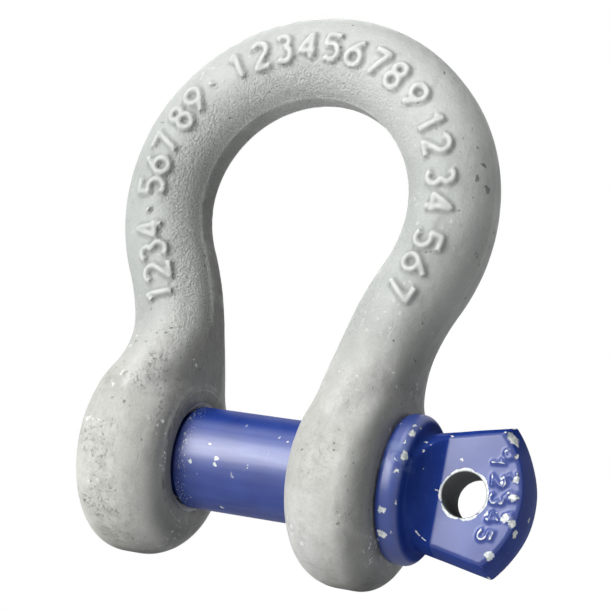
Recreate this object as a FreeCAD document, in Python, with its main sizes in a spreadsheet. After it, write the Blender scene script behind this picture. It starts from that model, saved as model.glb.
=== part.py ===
"""Bow shackle with a screw pin, as a parametric FreeCAD document. Lengths are in millimetres.

The origin is the middle of the pin's load length. +X runs along the pin towards its head, +Z from the pin
to the crown of the bow, and Y through the thickness. Three pieces are written: the forged bow, the screw
pin, and the pin's collar, which is kept apart because it carries the pin's advance and does not turn.
"""
import FreeCAD, Part
import math
import os

import Sketcher

PLACE = FreeCAD.Placement
VEC = FreeCAD.Vector

doc = FreeCAD.newDocument("bow_shackle")

# ---------------------------------------------------------------- sizes that can be set by themselves
SIZES = {
    # the forged bow
    "bar_diameter": 20.5,
    "bow_inside_width": 50.0,
    "crown_reach": 85.5,  # from the pin's axis to the inside of the crown
    "jaw_width": 29.0,  # between the eyes
    "leg_straight_height": 17.5,  # above the pin's axis the leg starts to bend outwards
    "neck_height": 34.0,  # above the pin's axis the round bar begins
    "neck_shoulder_inset": 3.2,  # how much narrower the neck's foot is than the eye
    "eye_diameter": 47.0,
    "eye_thickness": 20.5,
    "eye_inner_rim": 10.0,  # the rim is rounder towards the jaw
    "eye_outer_rim": 6.5,
    "hole_clearance": 0.5,  # radial play of the shank in the plain eye
    "hole_chamfer": 0.8,
    # the thread of the pin and of the far eye
    "thread_diameter": 22.0,
    "thread_pitch": 2.5,
    "thread_crest": 0.32,  # width of the flat on top of the pin's thread
    "thread_depth": 1.40,
    "thread_play": 0.15,  # the far eye's thread clears the pin's by this along the axis
    "thread_crest_drop": 0.15,  # the pin's crests stand this much inside the nominal size
    "countersink_depth": 2.2,
    # the forged pin
    "pin_diameter": 22.9,
    "pin_tip_proud": 1.5,  # how far the tip stands out of the far eye
    "pin_tip_chamfer": 1.6,
    "shoulder_chamfer": 0.8,
    "shoulder_entry": 0.4,  # how far the shank's shoulder sits inside the far eye
    "relief_length": 2.8,
    # its collar
    "collar_diameter": 32.8,
    "collar_thickness": 5.5,
    "collar_seat_rim": 1.5,  # the rim is sharper towards the eye
    "collar_outer_rim": 2.6,
    "collar_seat_gap": 0.2,
    "collar_play": 0.05,
    # its head
    "neck_diameter": 24.6,
    "neck_flare_radius": 1.4,
    "lug_thickness": 12.0,
    "lug_root_width": 26.0,
    "lug_width": 32.6,
    "lug_length": 17.8,  # from the collar to the lug's corners
    "lug_bow": 6.2,  # how far the outer end bows out beyond its corners
    "lug_side_draft": 2.0,
    "lug_end_draft": 0.8,
    "lug_edge_radius": 0.6,
    "ramp_radius": 9.0,
    "ramp_length": 4.6,
    "ramp_height": 6.0,  # from the lug's flats to where the ramps leave the round neck
    "ramp_distance": 5.1,  # from the collar to where the lug's flats begin
    "lug_hole_diameter": 9.8,
    "lug_hole_distance": 10.6,  # from the collar to the hole's middle
    "lug_hole_chamfer": 0.4,
}

sizes = doc.addObject("Spreadsheet::Sheet", "Sizes")
for row, (name, value) in enumerate(SIZES.items(), 1):
    sizes.set(f"A{row}", name)
    sizes.set(f"B{row}", str(value))
    sizes.setAlias(f"B{row}", name)

# ---------------------------------------------------------------- sizes that follow from them
WORKED = {
    "bar_radius": "Sizes.bar_diameter / 2",
    "eye_radius": "Sizes.eye_diameter / 2",
    "inner_face": "Sizes.jaw_width / 2",
    "eye_middle": "(Sizes.jaw_width + Sizes.eye_thickness) / 2",
    "outer_face": "Sizes.jaw_width / 2 + Sizes.eye_thickness",
    "inner_rim": "min(Sizes.eye_inner_rim; Sizes.eye_thickness / 2 - 0.1)",
    "outer_rim": "min(Sizes.eye_outer_rim; Sizes.eye_thickness / 2 - 0.1)",
    # the bow's centre line: an arc over the crown, tangent to an arc that ends upright above each eye
    "crown_radius": "(Sizes.bow_inside_width + Sizes.bar_diameter) / 2",
    "crown_middle": "Sizes.crown_reach - Sizes.bow_inside_width / 2",
    "crown_top": "crown_middle + crown_radius",
    "bend_drop": "crown_middle - Sizes.leg_straight_height",
    "bend_radius": "(eye_middle^2 + bend_drop^2 - crown_radius^2) / (2 * (crown_radius - eye_middle))",
    "bend_lean": "asin(bend_drop / (crown_radius + bend_radius))",
    "bend_end_x": "crown_radius * cos(bend_lean)",
    "bend_end_z": "crown_middle - crown_radius * sin(bend_lean)",
    "neck_lean": "asin((Sizes.neck_height - Sizes.leg_straight_height) / bend_radius)",
    "neck_top_x": "eye_middle + bend_radius * (1 - cos(neck_lean))",
    # the neck's lower sections: heights, then half-widths along Y and X
    "neck_foot_z": "eye_radius / 8",
    "neck_low_z": "eye_radius / 2",
    "neck_mid_z": "neck_low_z + (Sizes.neck_height - neck_low_z) * 0.4",
    "neck_high_z": "neck_low_z + (Sizes.neck_height - neck_low_z) * 0.75",
    "neck_low_y": "eye_radius - Sizes.neck_shoulder_inset / 2",
    "neck_foot_y": "neck_low_y - 0.2",
    "neck_mid_y": "bar_radius + (neck_low_y - bar_radius) * 0.58",
    "neck_high_y": "bar_radius + (neck_low_y - bar_radius) * 0.13",
    "neck_foot_x": "Sizes.eye_thickness / 2 - 0.7",
    "neck_low_x": "Sizes.eye_thickness / 2 - 0.35",
    "neck_mid_x": "neck_low_x + (bar_radius - neck_low_x) * 0.4",
    "neck_high_x": "neck_low_x + (bar_radius - neck_low_x) * 0.9",
    "neck_high_lean": "asin((neck_high_z - Sizes.leg_straight_height) / bend_radius)",
    "neck_high_middle": "eye_middle + bend_radius * (1 - cos(neck_high_lean))",
    # holes and threads
    "pin_radius": "Sizes.pin_diameter / 2",
    "hole_radius": "pin_radius + Sizes.hole_clearance",
    "hole_mouth": "hole_radius + Sizes.hole_chamfer",
    "crest_radius": "Sizes.thread_diameter / 2 - Sizes.thread_crest_drop",
    "root_radius": "crest_radius - Sizes.thread_depth",
    "relief_radius": "root_radius - 0.2",
    "tapped_radius": "root_radius + 0.2",
    "tapped_root_radius": "Sizes.thread_diameter / 2 + 0.15",
    "tapped_mouth": "tapped_root_radius + 0.3",
    "sink_radius": "pin_radius + 1.0",
    # half-widths of the two grooves: the pin's at its root and above its crest, the eye's at both ends
    "pin_groove_root": "(Sizes.thread_pitch - Sizes.thread_crest) / 2 - Sizes.thread_depth * tan(30)",
    "pin_groove_top": "(Sizes.thread_pitch - Sizes.thread_crest) / 2 + 0.2 * tan(30)",
    "eye_groove_root": "Sizes.thread_crest / 2 + Sizes.thread_play"
    " - (tapped_root_radius - crest_radius) * tan(30)",
    "eye_groove_top": "Sizes.thread_crest / 2 + Sizes.thread_play"
    " + (crest_radius - tapped_radius + 0.2) * tan(30)",
    # places along the pin
    "tip_end": "-outer_face - Sizes.pin_tip_proud",
    "shoulder_end": "-inner_face - Sizes.shoulder_entry",
    "relief_start": "shoulder_end - Sizes.relief_length",
    "thread_middle": "-eye_middle",
    "pin_groove_start": "thread_middle + Sizes.thread_pitch / 2"
    " - ceil((thread_middle - tip_end) / Sizes.thread_pitch + 1) * Sizes.thread_pitch",
    "pin_groove_length": "relief_start + Sizes.relief_length / 2 - pin_groove_start",
    "eye_groove_start": "thread_middle - ceil(Sizes.eye_thickness / 2 / Sizes.thread_pitch + 1)"
    " * Sizes.thread_pitch",
    "eye_groove_length": "2 * (thread_middle - eye_groove_start)",
    "collar_start": "outer_face + Sizes.collar_seat_gap",
    "collar_end": "collar_start + Sizes.collar_thickness",
    "head_start": "collar_end + Sizes.collar_play",
    "ramp_end": "collar_end + Sizes.ramp_distance",
    "ramp_start": "ramp_end - Sizes.ramp_length",
    "neck_end": "ramp_end + 1",
    # the lug, whose corners lie farthest out in its middle plane
    "lug_half": "Sizes.lug_thickness / 2",
    "lug_start": "head_start + 2",
    "lug_corner": "collar_end + Sizes.lug_length",
    "lug_edge_end": "lug_corner - Sizes.lug_end_draft",
    "lug_flat_end": "lug_edge_end - Sizes.lug_edge_radius",
    "lug_tip": "lug_corner + Sizes.lug_bow",
    "lug_hole_middle": "collar_end + Sizes.lug_hole_distance",
}

worked = doc.addObject("Spreadsheet::Sheet", "Worked")
for row, (name, formula) in enumerate(WORKED.items(), 1):
    worked.set(f"A{row}", name)
    worked.set(f"B{row}", "=" + formula)
    worked.setAlias(f"B{row}", name)
doc.recompute()


def number(expression):
    """What an expression on the two sheets comes to, as a plain number."""
    value = sizes.evalExpression(expression)
    return float(getattr(value, "Value", value))


# ---------------------------------------------------------------- drawing
def new_body(name):
    body = doc.addObject("PartDesign::Body", name)
    body.Label = name
    return body


def origin_feature(body, role):
    return next(f for f in body.Origin.OriginFeatures if f.Role == role)


def new_sketch(body, name, plane):
    sketch = body.newObject("Sketcher::SketchObject", name)
    sketch.AttachmentSupport = [(origin_feature(body, plane), "")]
    sketch.MapMode = "FlatFace"
    return sketch


def sketch_axes():
    """How constraints name a sketch's own horizontal and vertical axes; both start at its origin."""
    return -1, -2


def bind(sketch, constraint, expression):
    """Adds a constraint whose value is an expression on the sheets."""
    index = sketch.addConstraint(constraint)
    sketch.setExpression(f"Constraints[{index}]", expression)


def pin_point(sketch, geometry, end, x, y):
    """Ties one end of a line or arc to a place that two expressions give."""
    horizontal, vertical = sketch_axes()
    for kind, axis, expression in (("DistanceX", vertical, x), ("DistanceY", horizontal, y)):
        if expression == "0":
            sketch.addConstraint(Sketcher.Constraint("PointOnObject", geometry, end, axis))
        else:
            value = number(expression)
            bind(sketch, Sketcher.Constraint(kind, horizontal, 1, geometry, end, value), expression)


def draw(sketch, corners, closed=True):
    """Draws an outline. A corner is (x, y) or (x, y, radius, side): expressions for its place and, if the
    way to the next corner is an arc, for its radius, with side 1 if the arc's middle lies to the left."""
    places = [VEC(number(c[0]), number(c[1]), 0) for c in corners]
    count = len(corners) if closed else len(corners) - 1
    first = sketch.GeometryCount
    for i in range(count):
        a, b = places[i], places[(i + 1) % len(places)]
        if len(corners[i]) == 2:
            sketch.addGeometry(Part.LineSegment(a, b), False)
            continue
        radius, side = number(corners[i][2]), corners[i][3]
        half = (b - a) / 2
        left = VEC(-half.y, half.x, 0).normalize()
        middle = a + half + left * (side * math.sqrt(max(radius ** 2 - half.Length ** 2, 0)))
        start, end = (a, b) if side > 0 else (b, a)
        angles = [math.atan2((p - middle).y, (p - middle).x) for p in (start, end)]
        circle = Part.Circle(middle, VEC(0, 0, 1), radius)
        sketch.addGeometry(Part.ArcOfCircle(circle, *angles), False)
    # an arc is kept anticlockwise, so one whose middle lies to the right runs from its far end
    ends = [(2, 1) if len(c) > 2 and c[3] < 0 else (1, 2) for c in corners[:count]]
    for i in range(count):
        nxt = (i + 1) % len(corners)
        if closed or i < count - 1:
            sketch.addConstraint(
                Sketcher.Constraint("Coincident", first + i, ends[i][1], first + nxt, ends[nxt][0])
            )
        pin_point(sketch, first + i, ends[i][0], corners[i][0], corners[i][1])
        if len(corners[i]) > 2:
            radius = corners[i][2]
            bind(sketch, Sketcher.Constraint("Radius", first + i, number(radius)), radius)
    if not closed:
        pin_point(sketch, first + count - 1, ends[-1][1], *corners[-1][:2])


def draw_ellipse(sketch, x, y):
    """An ellipse about the sketch's origin, with half-widths x and y, y being the larger."""
    sketch.addGeometry(Part.Ellipse(VEC(0, number(y), 0), VEC(number(x), 0, 0), VEC(0, 0, 0)), False)
    sketch.exposeInternalGeometry(0)
    horizontal, vertical = sketch_axes()
    sketch.addConstraint(Sketcher.Constraint("Coincident", 0, 3, horizontal, 1))
    sketch.addConstraint(Sketcher.Constraint("PointOnObject", 1, 1, vertical))
    bind(sketch, Sketcher.Constraint("Distance", 1, 2 * number(y)), f"2 * ({y})")
    bind(sketch, Sketcher.Constraint("Distance", 2, 2 * number(x)), f"2 * ({x})")


def turned(body, kind, name, sketch, axis=None):
    """A Revolution or a Groove of a sketch right round the pin's axis, or round another one."""
    feature = body.newObject(kind, name)
    feature.Profile = sketch
    feature.ReferenceAxis = axis or (origin_feature(body, "X_Axis"), [""])
    feature.Angle = 360
    doc.recompute()
    return feature


def cut_helix(body, name, sketch, length, backwards=False):
    """Cuts a right-handed helical groove along the pin's axis."""
    feature = body.newObject("PartDesign::SubtractiveHelix", name)
    feature.Profile = sketch
    feature.ReferenceAxis = (origin_feature(body, "X_Axis"), [""])
    feature.Mode = 0
    feature.LeftHanded = False
    feature.Reversed = backwards
    feature.setExpression("Pitch", "Sizes.thread_pitch")
    feature.setExpression("Height", length)
    doc.recompute()
    return feature


def check(body):
    """Stops if the body's last feature failed, and says what it holds."""
    doc.recompute()
    shape = body.Shape
    if shape.isNull() or not shape.isValid() or len(shape.Solids) != 1:
        raise RuntimeError(f"{body.Label} is not one valid solid")
    print(f"{body.Label}: {shape.Volume / 1000:.2f} cm3")


# ---------------------------------------------------------------- the forged bow
def make_bow():
    body = new_body("bow")
    line = new_sketch(body, "bow_line", "XZ_Plane")
    bend = ("Worked.bend_radius", -1)
    crown = ("Worked.crown_radius", 1)
    draw(
        line,
        [
            ("Worked.neck_top_x", "Sizes.neck_height", *bend),
            ("Worked.bend_end_x", "Worked.bend_end_z", *crown),
            ("0", "Worked.crown_top", *crown),
            ("-Worked.bend_end_x", "Worked.bend_end_z", *bend),
            ("-Worked.neck_top_x", "Sizes.neck_height"),
        ],
        closed=False,
    )
    # the bar's round section, square to the centre line where the neck ends
    bar = new_sketch(body, "bar_section", "XY_Plane")
    bar.AttachmentOffset = PLACE(VEC(0, 0, 0), FreeCAD.Rotation(VEC(0, 1, 0), 10))
    bar.setExpression("AttachmentOffset.Base.x", "Worked.neck_top_x")
    bar.setExpression("AttachmentOffset.Base.z", "Sizes.neck_height")
    bar.setExpression("AttachmentOffset.Rotation.Angle", "Worked.neck_lean")
    bar.addGeometry(Part.Circle(VEC(0, 0, 0), VEC(0, 0, 1), number("Worked.bar_radius")), False)
    bar.addConstraint(Sketcher.Constraint("Coincident", 0, 3, sketch_axes()[0], 1))
    bind(bar, Sketcher.Constraint("Radius", 0, number("Worked.bar_radius")), "Worked.bar_radius")
    doc.recompute()
    round_bar = body.newObject("PartDesign::AdditivePipe", "round_bar")
    round_bar.Profile = bar
    round_bar.Spine = (line, [])
    doc.recompute()
    # the neck flattens and widens from the bar into the eye
    sections = []
    for level in ("foot", "low", "mid", "high"):
        section = new_sketch(body, f"neck_{level}", "XY_Plane")
        middle = "neck_high_middle" if level == "high" else "eye_middle"
        section.setExpression("AttachmentOffset.Base.x", f"Worked.{middle}")
        section.setExpression("AttachmentOffset.Base.z", f"Worked.neck_{level}_z")
        draw_ellipse(section, f"Worked.neck_{level}_x", f"Worked.neck_{level}_y")
        sections.append(section)
    doc.recompute()
    neck = body.newObject("PartDesign::AdditiveLoft", "neck")
    neck.Profile = sections[0]
    neck.Sections = sections[1:] + [bar]
    doc.recompute()
    # the eye: a thick disc with a heavily rounded rim
    eye = new_sketch(body, "eye_outline", "XZ_Plane")
    draw(
        eye,
        [
            ("Worked.inner_face", "0"),
            ("Worked.inner_face", "Worked.eye_radius - Worked.inner_rim", "Worked.inner_rim", -1),
            ("Worked.inner_face + Worked.inner_rim", "Worked.eye_radius"),
            ("Worked.outer_face - Worked.outer_rim", "Worked.eye_radius", "Worked.outer_rim", -1),
            ("Worked.outer_face", "Worked.eye_radius - Worked.outer_rim"),
            ("Worked.outer_face", "0"),
        ],
    )
    disc = turned(body, "PartDesign::Revolution", "eye", eye)
    twin = body.newObject("PartDesign::Mirrored", "far_leg")
    twin.Originals = [neck, disc]
    twin.MirrorPlane = (origin_feature(body, "YZ_Plane"), [""])
    body.Tip = twin
    doc.recompute()
    # the plain hole, next to the pin's head
    plain = new_sketch(body, "plain_hole_outline", "XZ_Plane")
    draw(
        plain,
        [
            ("Worked.inner_face - 1", "0"),
            ("Worked.inner_face - 1", "Worked.hole_mouth"),
            ("Worked.inner_face", "Worked.hole_mouth"),
            ("Worked.inner_face + Sizes.hole_chamfer", "Worked.hole_radius"),
            ("Worked.outer_face - Sizes.hole_chamfer", "Worked.hole_radius"),
            ("Worked.outer_face", "Worked.hole_mouth"),
            ("Worked.outer_face + 1", "Worked.hole_mouth"),
            ("Worked.outer_face + 1", "0"),
        ],
    )
    turned(body, "PartDesign::Groove", "plain_hole", plain)
    # the tapped hole: its core with a countersink at each face, then the thread
    core = new_sketch(body, "tapped_hole_outline", "XZ_Plane")
    draw(
        core,
        [
            ("-Worked.inner_face + 1", "0"),
            ("-Worked.inner_face + 1", "Worked.sink_radius"),
            ("-Worked.inner_face", "Worked.sink_radius"),
            ("-Worked.inner_face - Sizes.countersink_depth", "Worked.tapped_radius"),
            ("-Worked.outer_face + Worked.tapped_mouth - Worked.tapped_radius", "Worked.tapped_radius"),
            ("-Worked.outer_face", "Worked.tapped_mouth"),
            ("-Worked.outer_face - 1", "Worked.tapped_mouth"),
            ("-Worked.outer_face - 1", "0"),
        ],
    )
    turned(body, "PartDesign::Groove", "tapped_hole", core)
    groove = new_sketch(body, "eye_thread_section", "XZ_Plane")
    draw(
        groove,
        [
            ("Worked.eye_groove_start - Worked.eye_groove_root", "Worked.tapped_root_radius"),
            ("Worked.eye_groove_start - Worked.eye_groove_top", "Worked.tapped_radius - 0.2"),
            ("Worked.eye_groove_start + Worked.eye_groove_top", "Worked.tapped_radius - 0.2"),
            ("Worked.eye_groove_start + Worked.eye_groove_root", "Worked.tapped_root_radius"),
        ],
    )
    doc.recompute()
    cut_helix(body, "eye_thread", groove, "Worked.eye_groove_length")
    return body


# ---------------------------------------------------------------- the screw pin
def make_pin():
    body = new_body("screw_pin")
    shaft = new_sketch(body, "shaft_outline", "XZ_Plane")
    draw(
        shaft,
        [
            ("Worked.tip_end", "0"),
            ("Worked.tip_end", "Worked.crest_radius - Sizes.pin_tip_chamfer"),
            ("Worked.tip_end + Sizes.pin_tip_chamfer", "Worked.crest_radius"),
            ("Worked.relief_start", "Worked.crest_radius"),
            ("Worked.relief_start", "Worked.relief_radius"),
            ("Worked.shoulder_end", "Worked.relief_radius"),
            ("Worked.shoulder_end", "Worked.pin_radius - Sizes.shoulder_chamfer"),
            ("Worked.shoulder_end + Sizes.shoulder_chamfer", "Worked.pin_radius"),
            ("Worked.head_start", "Worked.pin_radius"),
            (
                "Worked.head_start",
                "Sizes.neck_diameter / 2 + Sizes.neck_flare_radius",
                "Sizes.neck_flare_radius",
                1,
            ),
            ("Worked.head_start + Sizes.neck_flare_radius", "Sizes.neck_diameter / 2"),
            ("Worked.neck_end", "Sizes.lug_root_width / 2"),
            ("Worked.neck_end", "0"),
        ],
    )
    turned(body, "PartDesign::Revolution", "shaft", shaft)
    # the lug: flat on both sides, with draft all round from its middle plane and rounded edges
    edge_level = "(Worked.lug_half - Sizes.lug_edge_radius)"
    levels = [
        ("front", "-Worked.lug_half", "Sizes.lug_side_draft + Sizes.lug_edge_radius", "lug_flat_end"),
        ("front_edge", f"-{edge_level}", "Sizes.lug_side_draft", "lug_edge_end"),
        ("middle", "0", "0", "lug_corner"),
        ("back_edge", edge_level, "Sizes.lug_side_draft", "lug_edge_end"),
        ("back", "Worked.lug_half", "Sizes.lug_side_draft + Sizes.lug_edge_radius", "lug_flat_end"),
    ]
    outlines = []
    for name, height, inset, end in levels:
        outline = new_sketch(body, f"lug_{name}", "XZ_Plane")
        outline.setExpression("AttachmentOffset.Base.z", height)
        root, corner = (f"(Sizes.{width} / 2 - ({inset}))" for width in ("lug_root_width", "lug_width"))
        bow_radius = f"({corner}^2 + Sizes.lug_bow^2) / (2 * Sizes.lug_bow)"
        draw(
            outline,
            [
                ("Worked.lug_start", f"-{root}"),
                (f"Worked.{end}", f"-{corner}", bow_radius, 1),
                (f"Worked.{end}", corner),
                ("Worked.lug_start", root),
            ],
        )
        outlines.append(outline)
    doc.recompute()
    lug = body.newObject("PartDesign::AdditiveLoft", "lug")
    lug.Profile = outlines[0]
    lug.Sections = outlines[1:]
    doc.recompute()
    # the ramps: the round neck is cut back to the lug's flats
    ramp = new_sketch(body, "ramp_outline", "XY_Plane")
    draw(
        ramp,
        [
            ("Worked.ramp_end", "Worked.lug_half"),
            ("Worked.lug_tip + 1", "Worked.lug_half"),
            ("Worked.lug_tip + 1", "Worked.pin_radius * 2"),
            ("Worked.ramp_start", "Worked.pin_radius * 2"),
            ("Worked.ramp_start", "Worked.lug_half + Sizes.ramp_height", "Sizes.ramp_radius", 1),
        ],
    )
    doc.recompute()
    front = body.newObject("PartDesign::Pocket", "back_ramp")
    front.Profile = ramp
    front.Type = "ThroughAll"
    front.SideType = "Symmetric"
    doc.recompute()
    both = body.newObject("PartDesign::Mirrored", "front_ramp")
    both.Originals = [front]
    both.MirrorPlane = (origin_feature(body, "XZ_Plane"), [""])
    body.Tip = both
    doc.recompute()
    # the eye in the lug
    hole = new_sketch(body, "lug_hole_outline", "XY_Plane")
    hole.setExpression("AttachmentOffset.Base.x", "Worked.lug_hole_middle")
    radius, mouth = "Sizes.lug_hole_diameter / 2", "Sizes.lug_hole_diameter / 2 + Sizes.lug_hole_chamfer"
    draw(
        hole,
        [
            ("0", "-Worked.lug_half - 1"),
            (mouth, "-Worked.lug_half - 1"),
            (mouth, "-Worked.lug_half"),
            (radius, "-Worked.lug_half + Sizes.lug_hole_chamfer"),
            (radius, "Worked.lug_half - Sizes.lug_hole_chamfer"),
            (mouth, "Worked.lug_half"),
            (mouth, "Worked.lug_half + 1"),
            ("0", "Worked.lug_half + 1"),
        ],
    )
    turned(body, "PartDesign::Groove", "lug_hole", hole, (hole, ["V_Axis"]))
    # the pin's thread
    groove = new_sketch(body, "pin_thread_section", "XZ_Plane")
    draw(
        groove,
        [
            ("Worked.pin_groove_start - Worked.pin_groove_root", "Worked.root_radius"),
            ("Worked.pin_groove_start + Worked.pin_groove_root", "Worked.root_radius"),
            ("Worked.pin_groove_start + Worked.pin_groove_top", "Worked.crest_radius + 0.2"),
            ("Worked.pin_groove_start - Worked.pin_groove_top", "Worked.crest_radius + 0.2"),
        ],
    )
    doc.recompute()
    cut_helix(body, "pin_thread", groove, "Worked.pin_groove_length")
    return body


def make_collar():
    body = new_body("pin_collar")
    outline = new_sketch(body, "collar_outline", "XZ_Plane")
    seat_rim, outer_rim = "Sizes.collar_seat_rim", "Sizes.collar_outer_rim"
    outer = "Sizes.collar_diameter / 2"
    draw(
        outline,
        [
            ("Worked.collar_start", "Worked.pin_radius + Sizes.collar_play"),
            ("Worked.collar_start", f"{outer} - {seat_rim}", seat_rim, -1),
            (f"Worked.collar_start + {seat_rim}", outer),
            (f"Worked.collar_end - {outer_rim}", outer, outer_rim, -1),
            ("Worked.collar_end", f"{outer} - {outer_rim}"),
            ("Worked.collar_end", "Worked.pin_radius + Sizes.collar_play"),
        ],
    )
    turned(body, "PartDesign::Revolution", "collar", outline)
    return body


PIECES = [make_bow(), make_pin(), make_collar()]
for piece in PIECES:
    check(piece)
failed = [o.Name for o in doc.Objects if "Invalid" in o.State or "Error" in o.State]
if failed:
    raise RuntimeError(f"features that failed: {failed}")

os.makedirs("parts", exist_ok=True)
for piece in PIECES:
    piece.Shape.exportStep(f"parts/{piece.Label}.step")
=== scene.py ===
# %% [markdown]
# # A bow shackle with a screw pin
#
# This notebook dresses the CAD model of a forged bow shackle: a galvanised bow whose two legs end in thick
# eyes, and a blue pin that passes through one eye and screws into the other. The CAD solids give every size
# and place; here they get the soft forms, the raised figures, the coating and the knocks of a real forging.

import math

import bmesh
import bpy
import numpy as np
from mathutils import Matrix, Vector, noise


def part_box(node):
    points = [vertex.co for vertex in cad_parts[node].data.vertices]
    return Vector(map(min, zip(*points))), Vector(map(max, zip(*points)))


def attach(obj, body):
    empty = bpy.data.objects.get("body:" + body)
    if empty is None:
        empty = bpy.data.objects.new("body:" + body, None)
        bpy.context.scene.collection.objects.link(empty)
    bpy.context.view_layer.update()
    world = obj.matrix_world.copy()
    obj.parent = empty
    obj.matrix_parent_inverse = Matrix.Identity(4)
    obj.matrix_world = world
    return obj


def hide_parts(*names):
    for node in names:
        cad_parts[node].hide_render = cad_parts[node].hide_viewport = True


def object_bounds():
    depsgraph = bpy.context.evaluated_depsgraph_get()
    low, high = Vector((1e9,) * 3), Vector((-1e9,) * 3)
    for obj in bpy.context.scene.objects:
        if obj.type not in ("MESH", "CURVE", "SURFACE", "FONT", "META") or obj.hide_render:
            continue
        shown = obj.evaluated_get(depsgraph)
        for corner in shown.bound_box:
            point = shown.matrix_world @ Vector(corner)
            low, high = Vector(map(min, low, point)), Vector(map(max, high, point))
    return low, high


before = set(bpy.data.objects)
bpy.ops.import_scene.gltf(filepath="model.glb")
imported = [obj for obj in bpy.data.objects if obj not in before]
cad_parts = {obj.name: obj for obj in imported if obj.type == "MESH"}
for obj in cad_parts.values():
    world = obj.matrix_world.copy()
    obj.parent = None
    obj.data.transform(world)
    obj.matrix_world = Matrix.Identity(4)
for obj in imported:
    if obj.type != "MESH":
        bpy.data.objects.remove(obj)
cad_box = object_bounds()
scene = bpy.context.scene

# %% [markdown]
# ## Sizes
#
# The shapes are made in millimetres, which keeps the numbers readable, and each finished mesh is brought to
# metres at the end. Whatever the solids can tell is measured on them, so a changed solid moves the dressing
# with it. Only the few sizes that a box can't tell are typed.

# %% Measure the solids
def box_mm(node):
    """The lowest and the highest corner of a CAD node, in millimetres."""
    low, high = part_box(node)
    return low * 1000, high * 1000


bow_low, bow_high = box_mm("bow")
pin_low, pin_high = box_mm("screw_pin")
collar_low, collar_high = box_mm("pin_collar")

BAR_RADIUS = 10.25
INNER_FACE = 14.5
LEG_BEND_START = 17.5
PIN_RADIUS = 11.45
EYE_RADIUS = -bow_low.z
CROWN_RADIUS = bow_high.x - BAR_RADIUS
CROWN_MIDDLE = bow_high.z - BAR_RADIUS - CROWN_RADIUS
EYE_THICKNESS = collar_low.x - 0.2 - INNER_FACE
OUTER_FACE = INNER_FACE + EYE_THICKNESS
EYE_MIDDLE = INNER_FACE + EYE_THICKNESS / 2
COLLAR_RADIUS = collar_high.z
print(f"eye radius {EYE_RADIUS:.2f}, crown radius {CROWN_RADIUS:.2f}, eye thickness {EYE_THICKNESS:.2f} mm")

# %% Small helpers for meshes
def new_object(name, mesh):
    obj = bpy.data.objects.new(name, mesh)
    scene.collection.objects.link(obj)
    return obj


def mesh_object(name, vertices, faces=(), edges=()):
    mesh = bpy.data.meshes.new(name)
    mesh.from_pydata([tuple(v) for v in vertices], list(edges), [tuple(f) for f in faces])
    mesh.update()
    return new_object(name, mesh)


def chain(name, points):
    """Points joined by edges, one after the other."""
    return mesh_object(name, points, edges=[(i, i + 1) for i in range(len(points) - 1)])


def outward(obj):
    """Merges doubles and turns all faces outwards."""
    work = bmesh.new()
    work.from_mesh(obj.data)
    bmesh.ops.remove_doubles(work, verts=work.verts, dist=1e-4)
    bmesh.ops.recalc_face_normals(work, faces=work.faces)
    work.to_mesh(obj.data)
    work.free()
    return obj


def settle(obj):
    """Turns an object with its modifiers into a plain mesh."""
    ready = obj.evaluated_get(bpy.context.evaluated_depsgraph_get())
    mesh = bpy.data.meshes.new_from_object(ready)
    obj.modifiers.clear()
    old, obj.data = obj.data, mesh
    bpy.data.meshes.remove(old)
    return obj


def turned(name, outline, steps=128):
    """A closed solid of revolution about the pin's axis; the outline is a list of (x, radius) that starts
    and ends on the axis."""
    ring = outline[1:-1]
    angles = np.linspace(0, 2 * math.pi, steps, endpoint=False)
    vertices = [(x, r * math.cos(a), r * math.sin(a)) for x, r in ring for a in angles]
    faces = []
    for i in range(len(ring) - 1):
        for j in range(steps):
            k = (j + 1) % steps
            faces.append((i * steps + j, (i + 1) * steps + j, (i + 1) * steps + k, i * steps + k))
    for (x, _), i in ((outline[0], 0), (outline[-1], len(ring) - 1)):
        vertices.append((x, 0, 0))
        for j in range(steps):
            faces.append((i * steps + j, i * steps + (j + 1) % steps, len(vertices) - 1))
    return outward(mesh_object(name, vertices, faces))


def arc(middle_x, middle_y, radius, start, end, steps=12):
    """Points on an arc, with its angles in degrees."""
    turn = [math.radians(start + (end - start) * i / steps) for i in range(steps + 1)]
    return [(middle_x + radius * math.cos(a), middle_y + radius * math.sin(a)) for a in turn]


# %% [markdown]
# ## Helpers for Geometry Nodes
#
# A tree is a list of nodes and links. Short helpers let each tree below read like a recipe: one makes a tree
# with named inputs, one adds a node and connects it in a line, and a few do what comes up again and again.
# The materials use them too. The result of a tree is turned into a plain mesh at once, because the parts are
# then joined, smoothed and cut as one forging.

# %% Tree helpers
def new_tree(name, **inputs):
    """A Geometry Nodes tree whose named inputs have the given starting values."""
    tree = bpy.data.node_groups.new(name, "GeometryNodeTree")
    tree.interface.new_socket("Geometry", in_out="INPUT", socket_type="NodeSocketGeometry")
    for label, value in inputs.items():
        kind = "NodeSocketObject" if value is None else "NodeSocketFloat"
        socket = tree.interface.new_socket(label.replace("_", " "), in_out="INPUT", socket_type=kind)
        if value is not None:
            socket.default_value = value
    tree.interface.new_socket("Geometry", in_out="OUTPUT", socket_type="NodeSocketGeometry")
    return tree, tree.nodes.new("NodeGroupInput").outputs


def feed(tree, value, socket):
    """Links an input to another node's output, or sets it to a plain value."""
    if isinstance(value, bpy.types.NodeSocket):
        tree.links.new(value, socket)
    else:
        socket.default_value = value


def add(tree, kind, *inputs, **settings):
    """Adds a node, connects or sets its inputs in order, and returns it. None skips an input."""
    node = tree.nodes.new(kind)
    for key, value in settings.items():
        setattr(node, key, value)
    sockets = [s for s in node.inputs if s.enabled]
    for socket, value in zip(sockets, inputs):
        if value is not None:
            feed(tree, value, socket)
    return node


def calc(tree, operation, *inputs):
    return add(tree, "ShaderNodeMath", *inputs, operation=operation).outputs[0]


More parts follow.
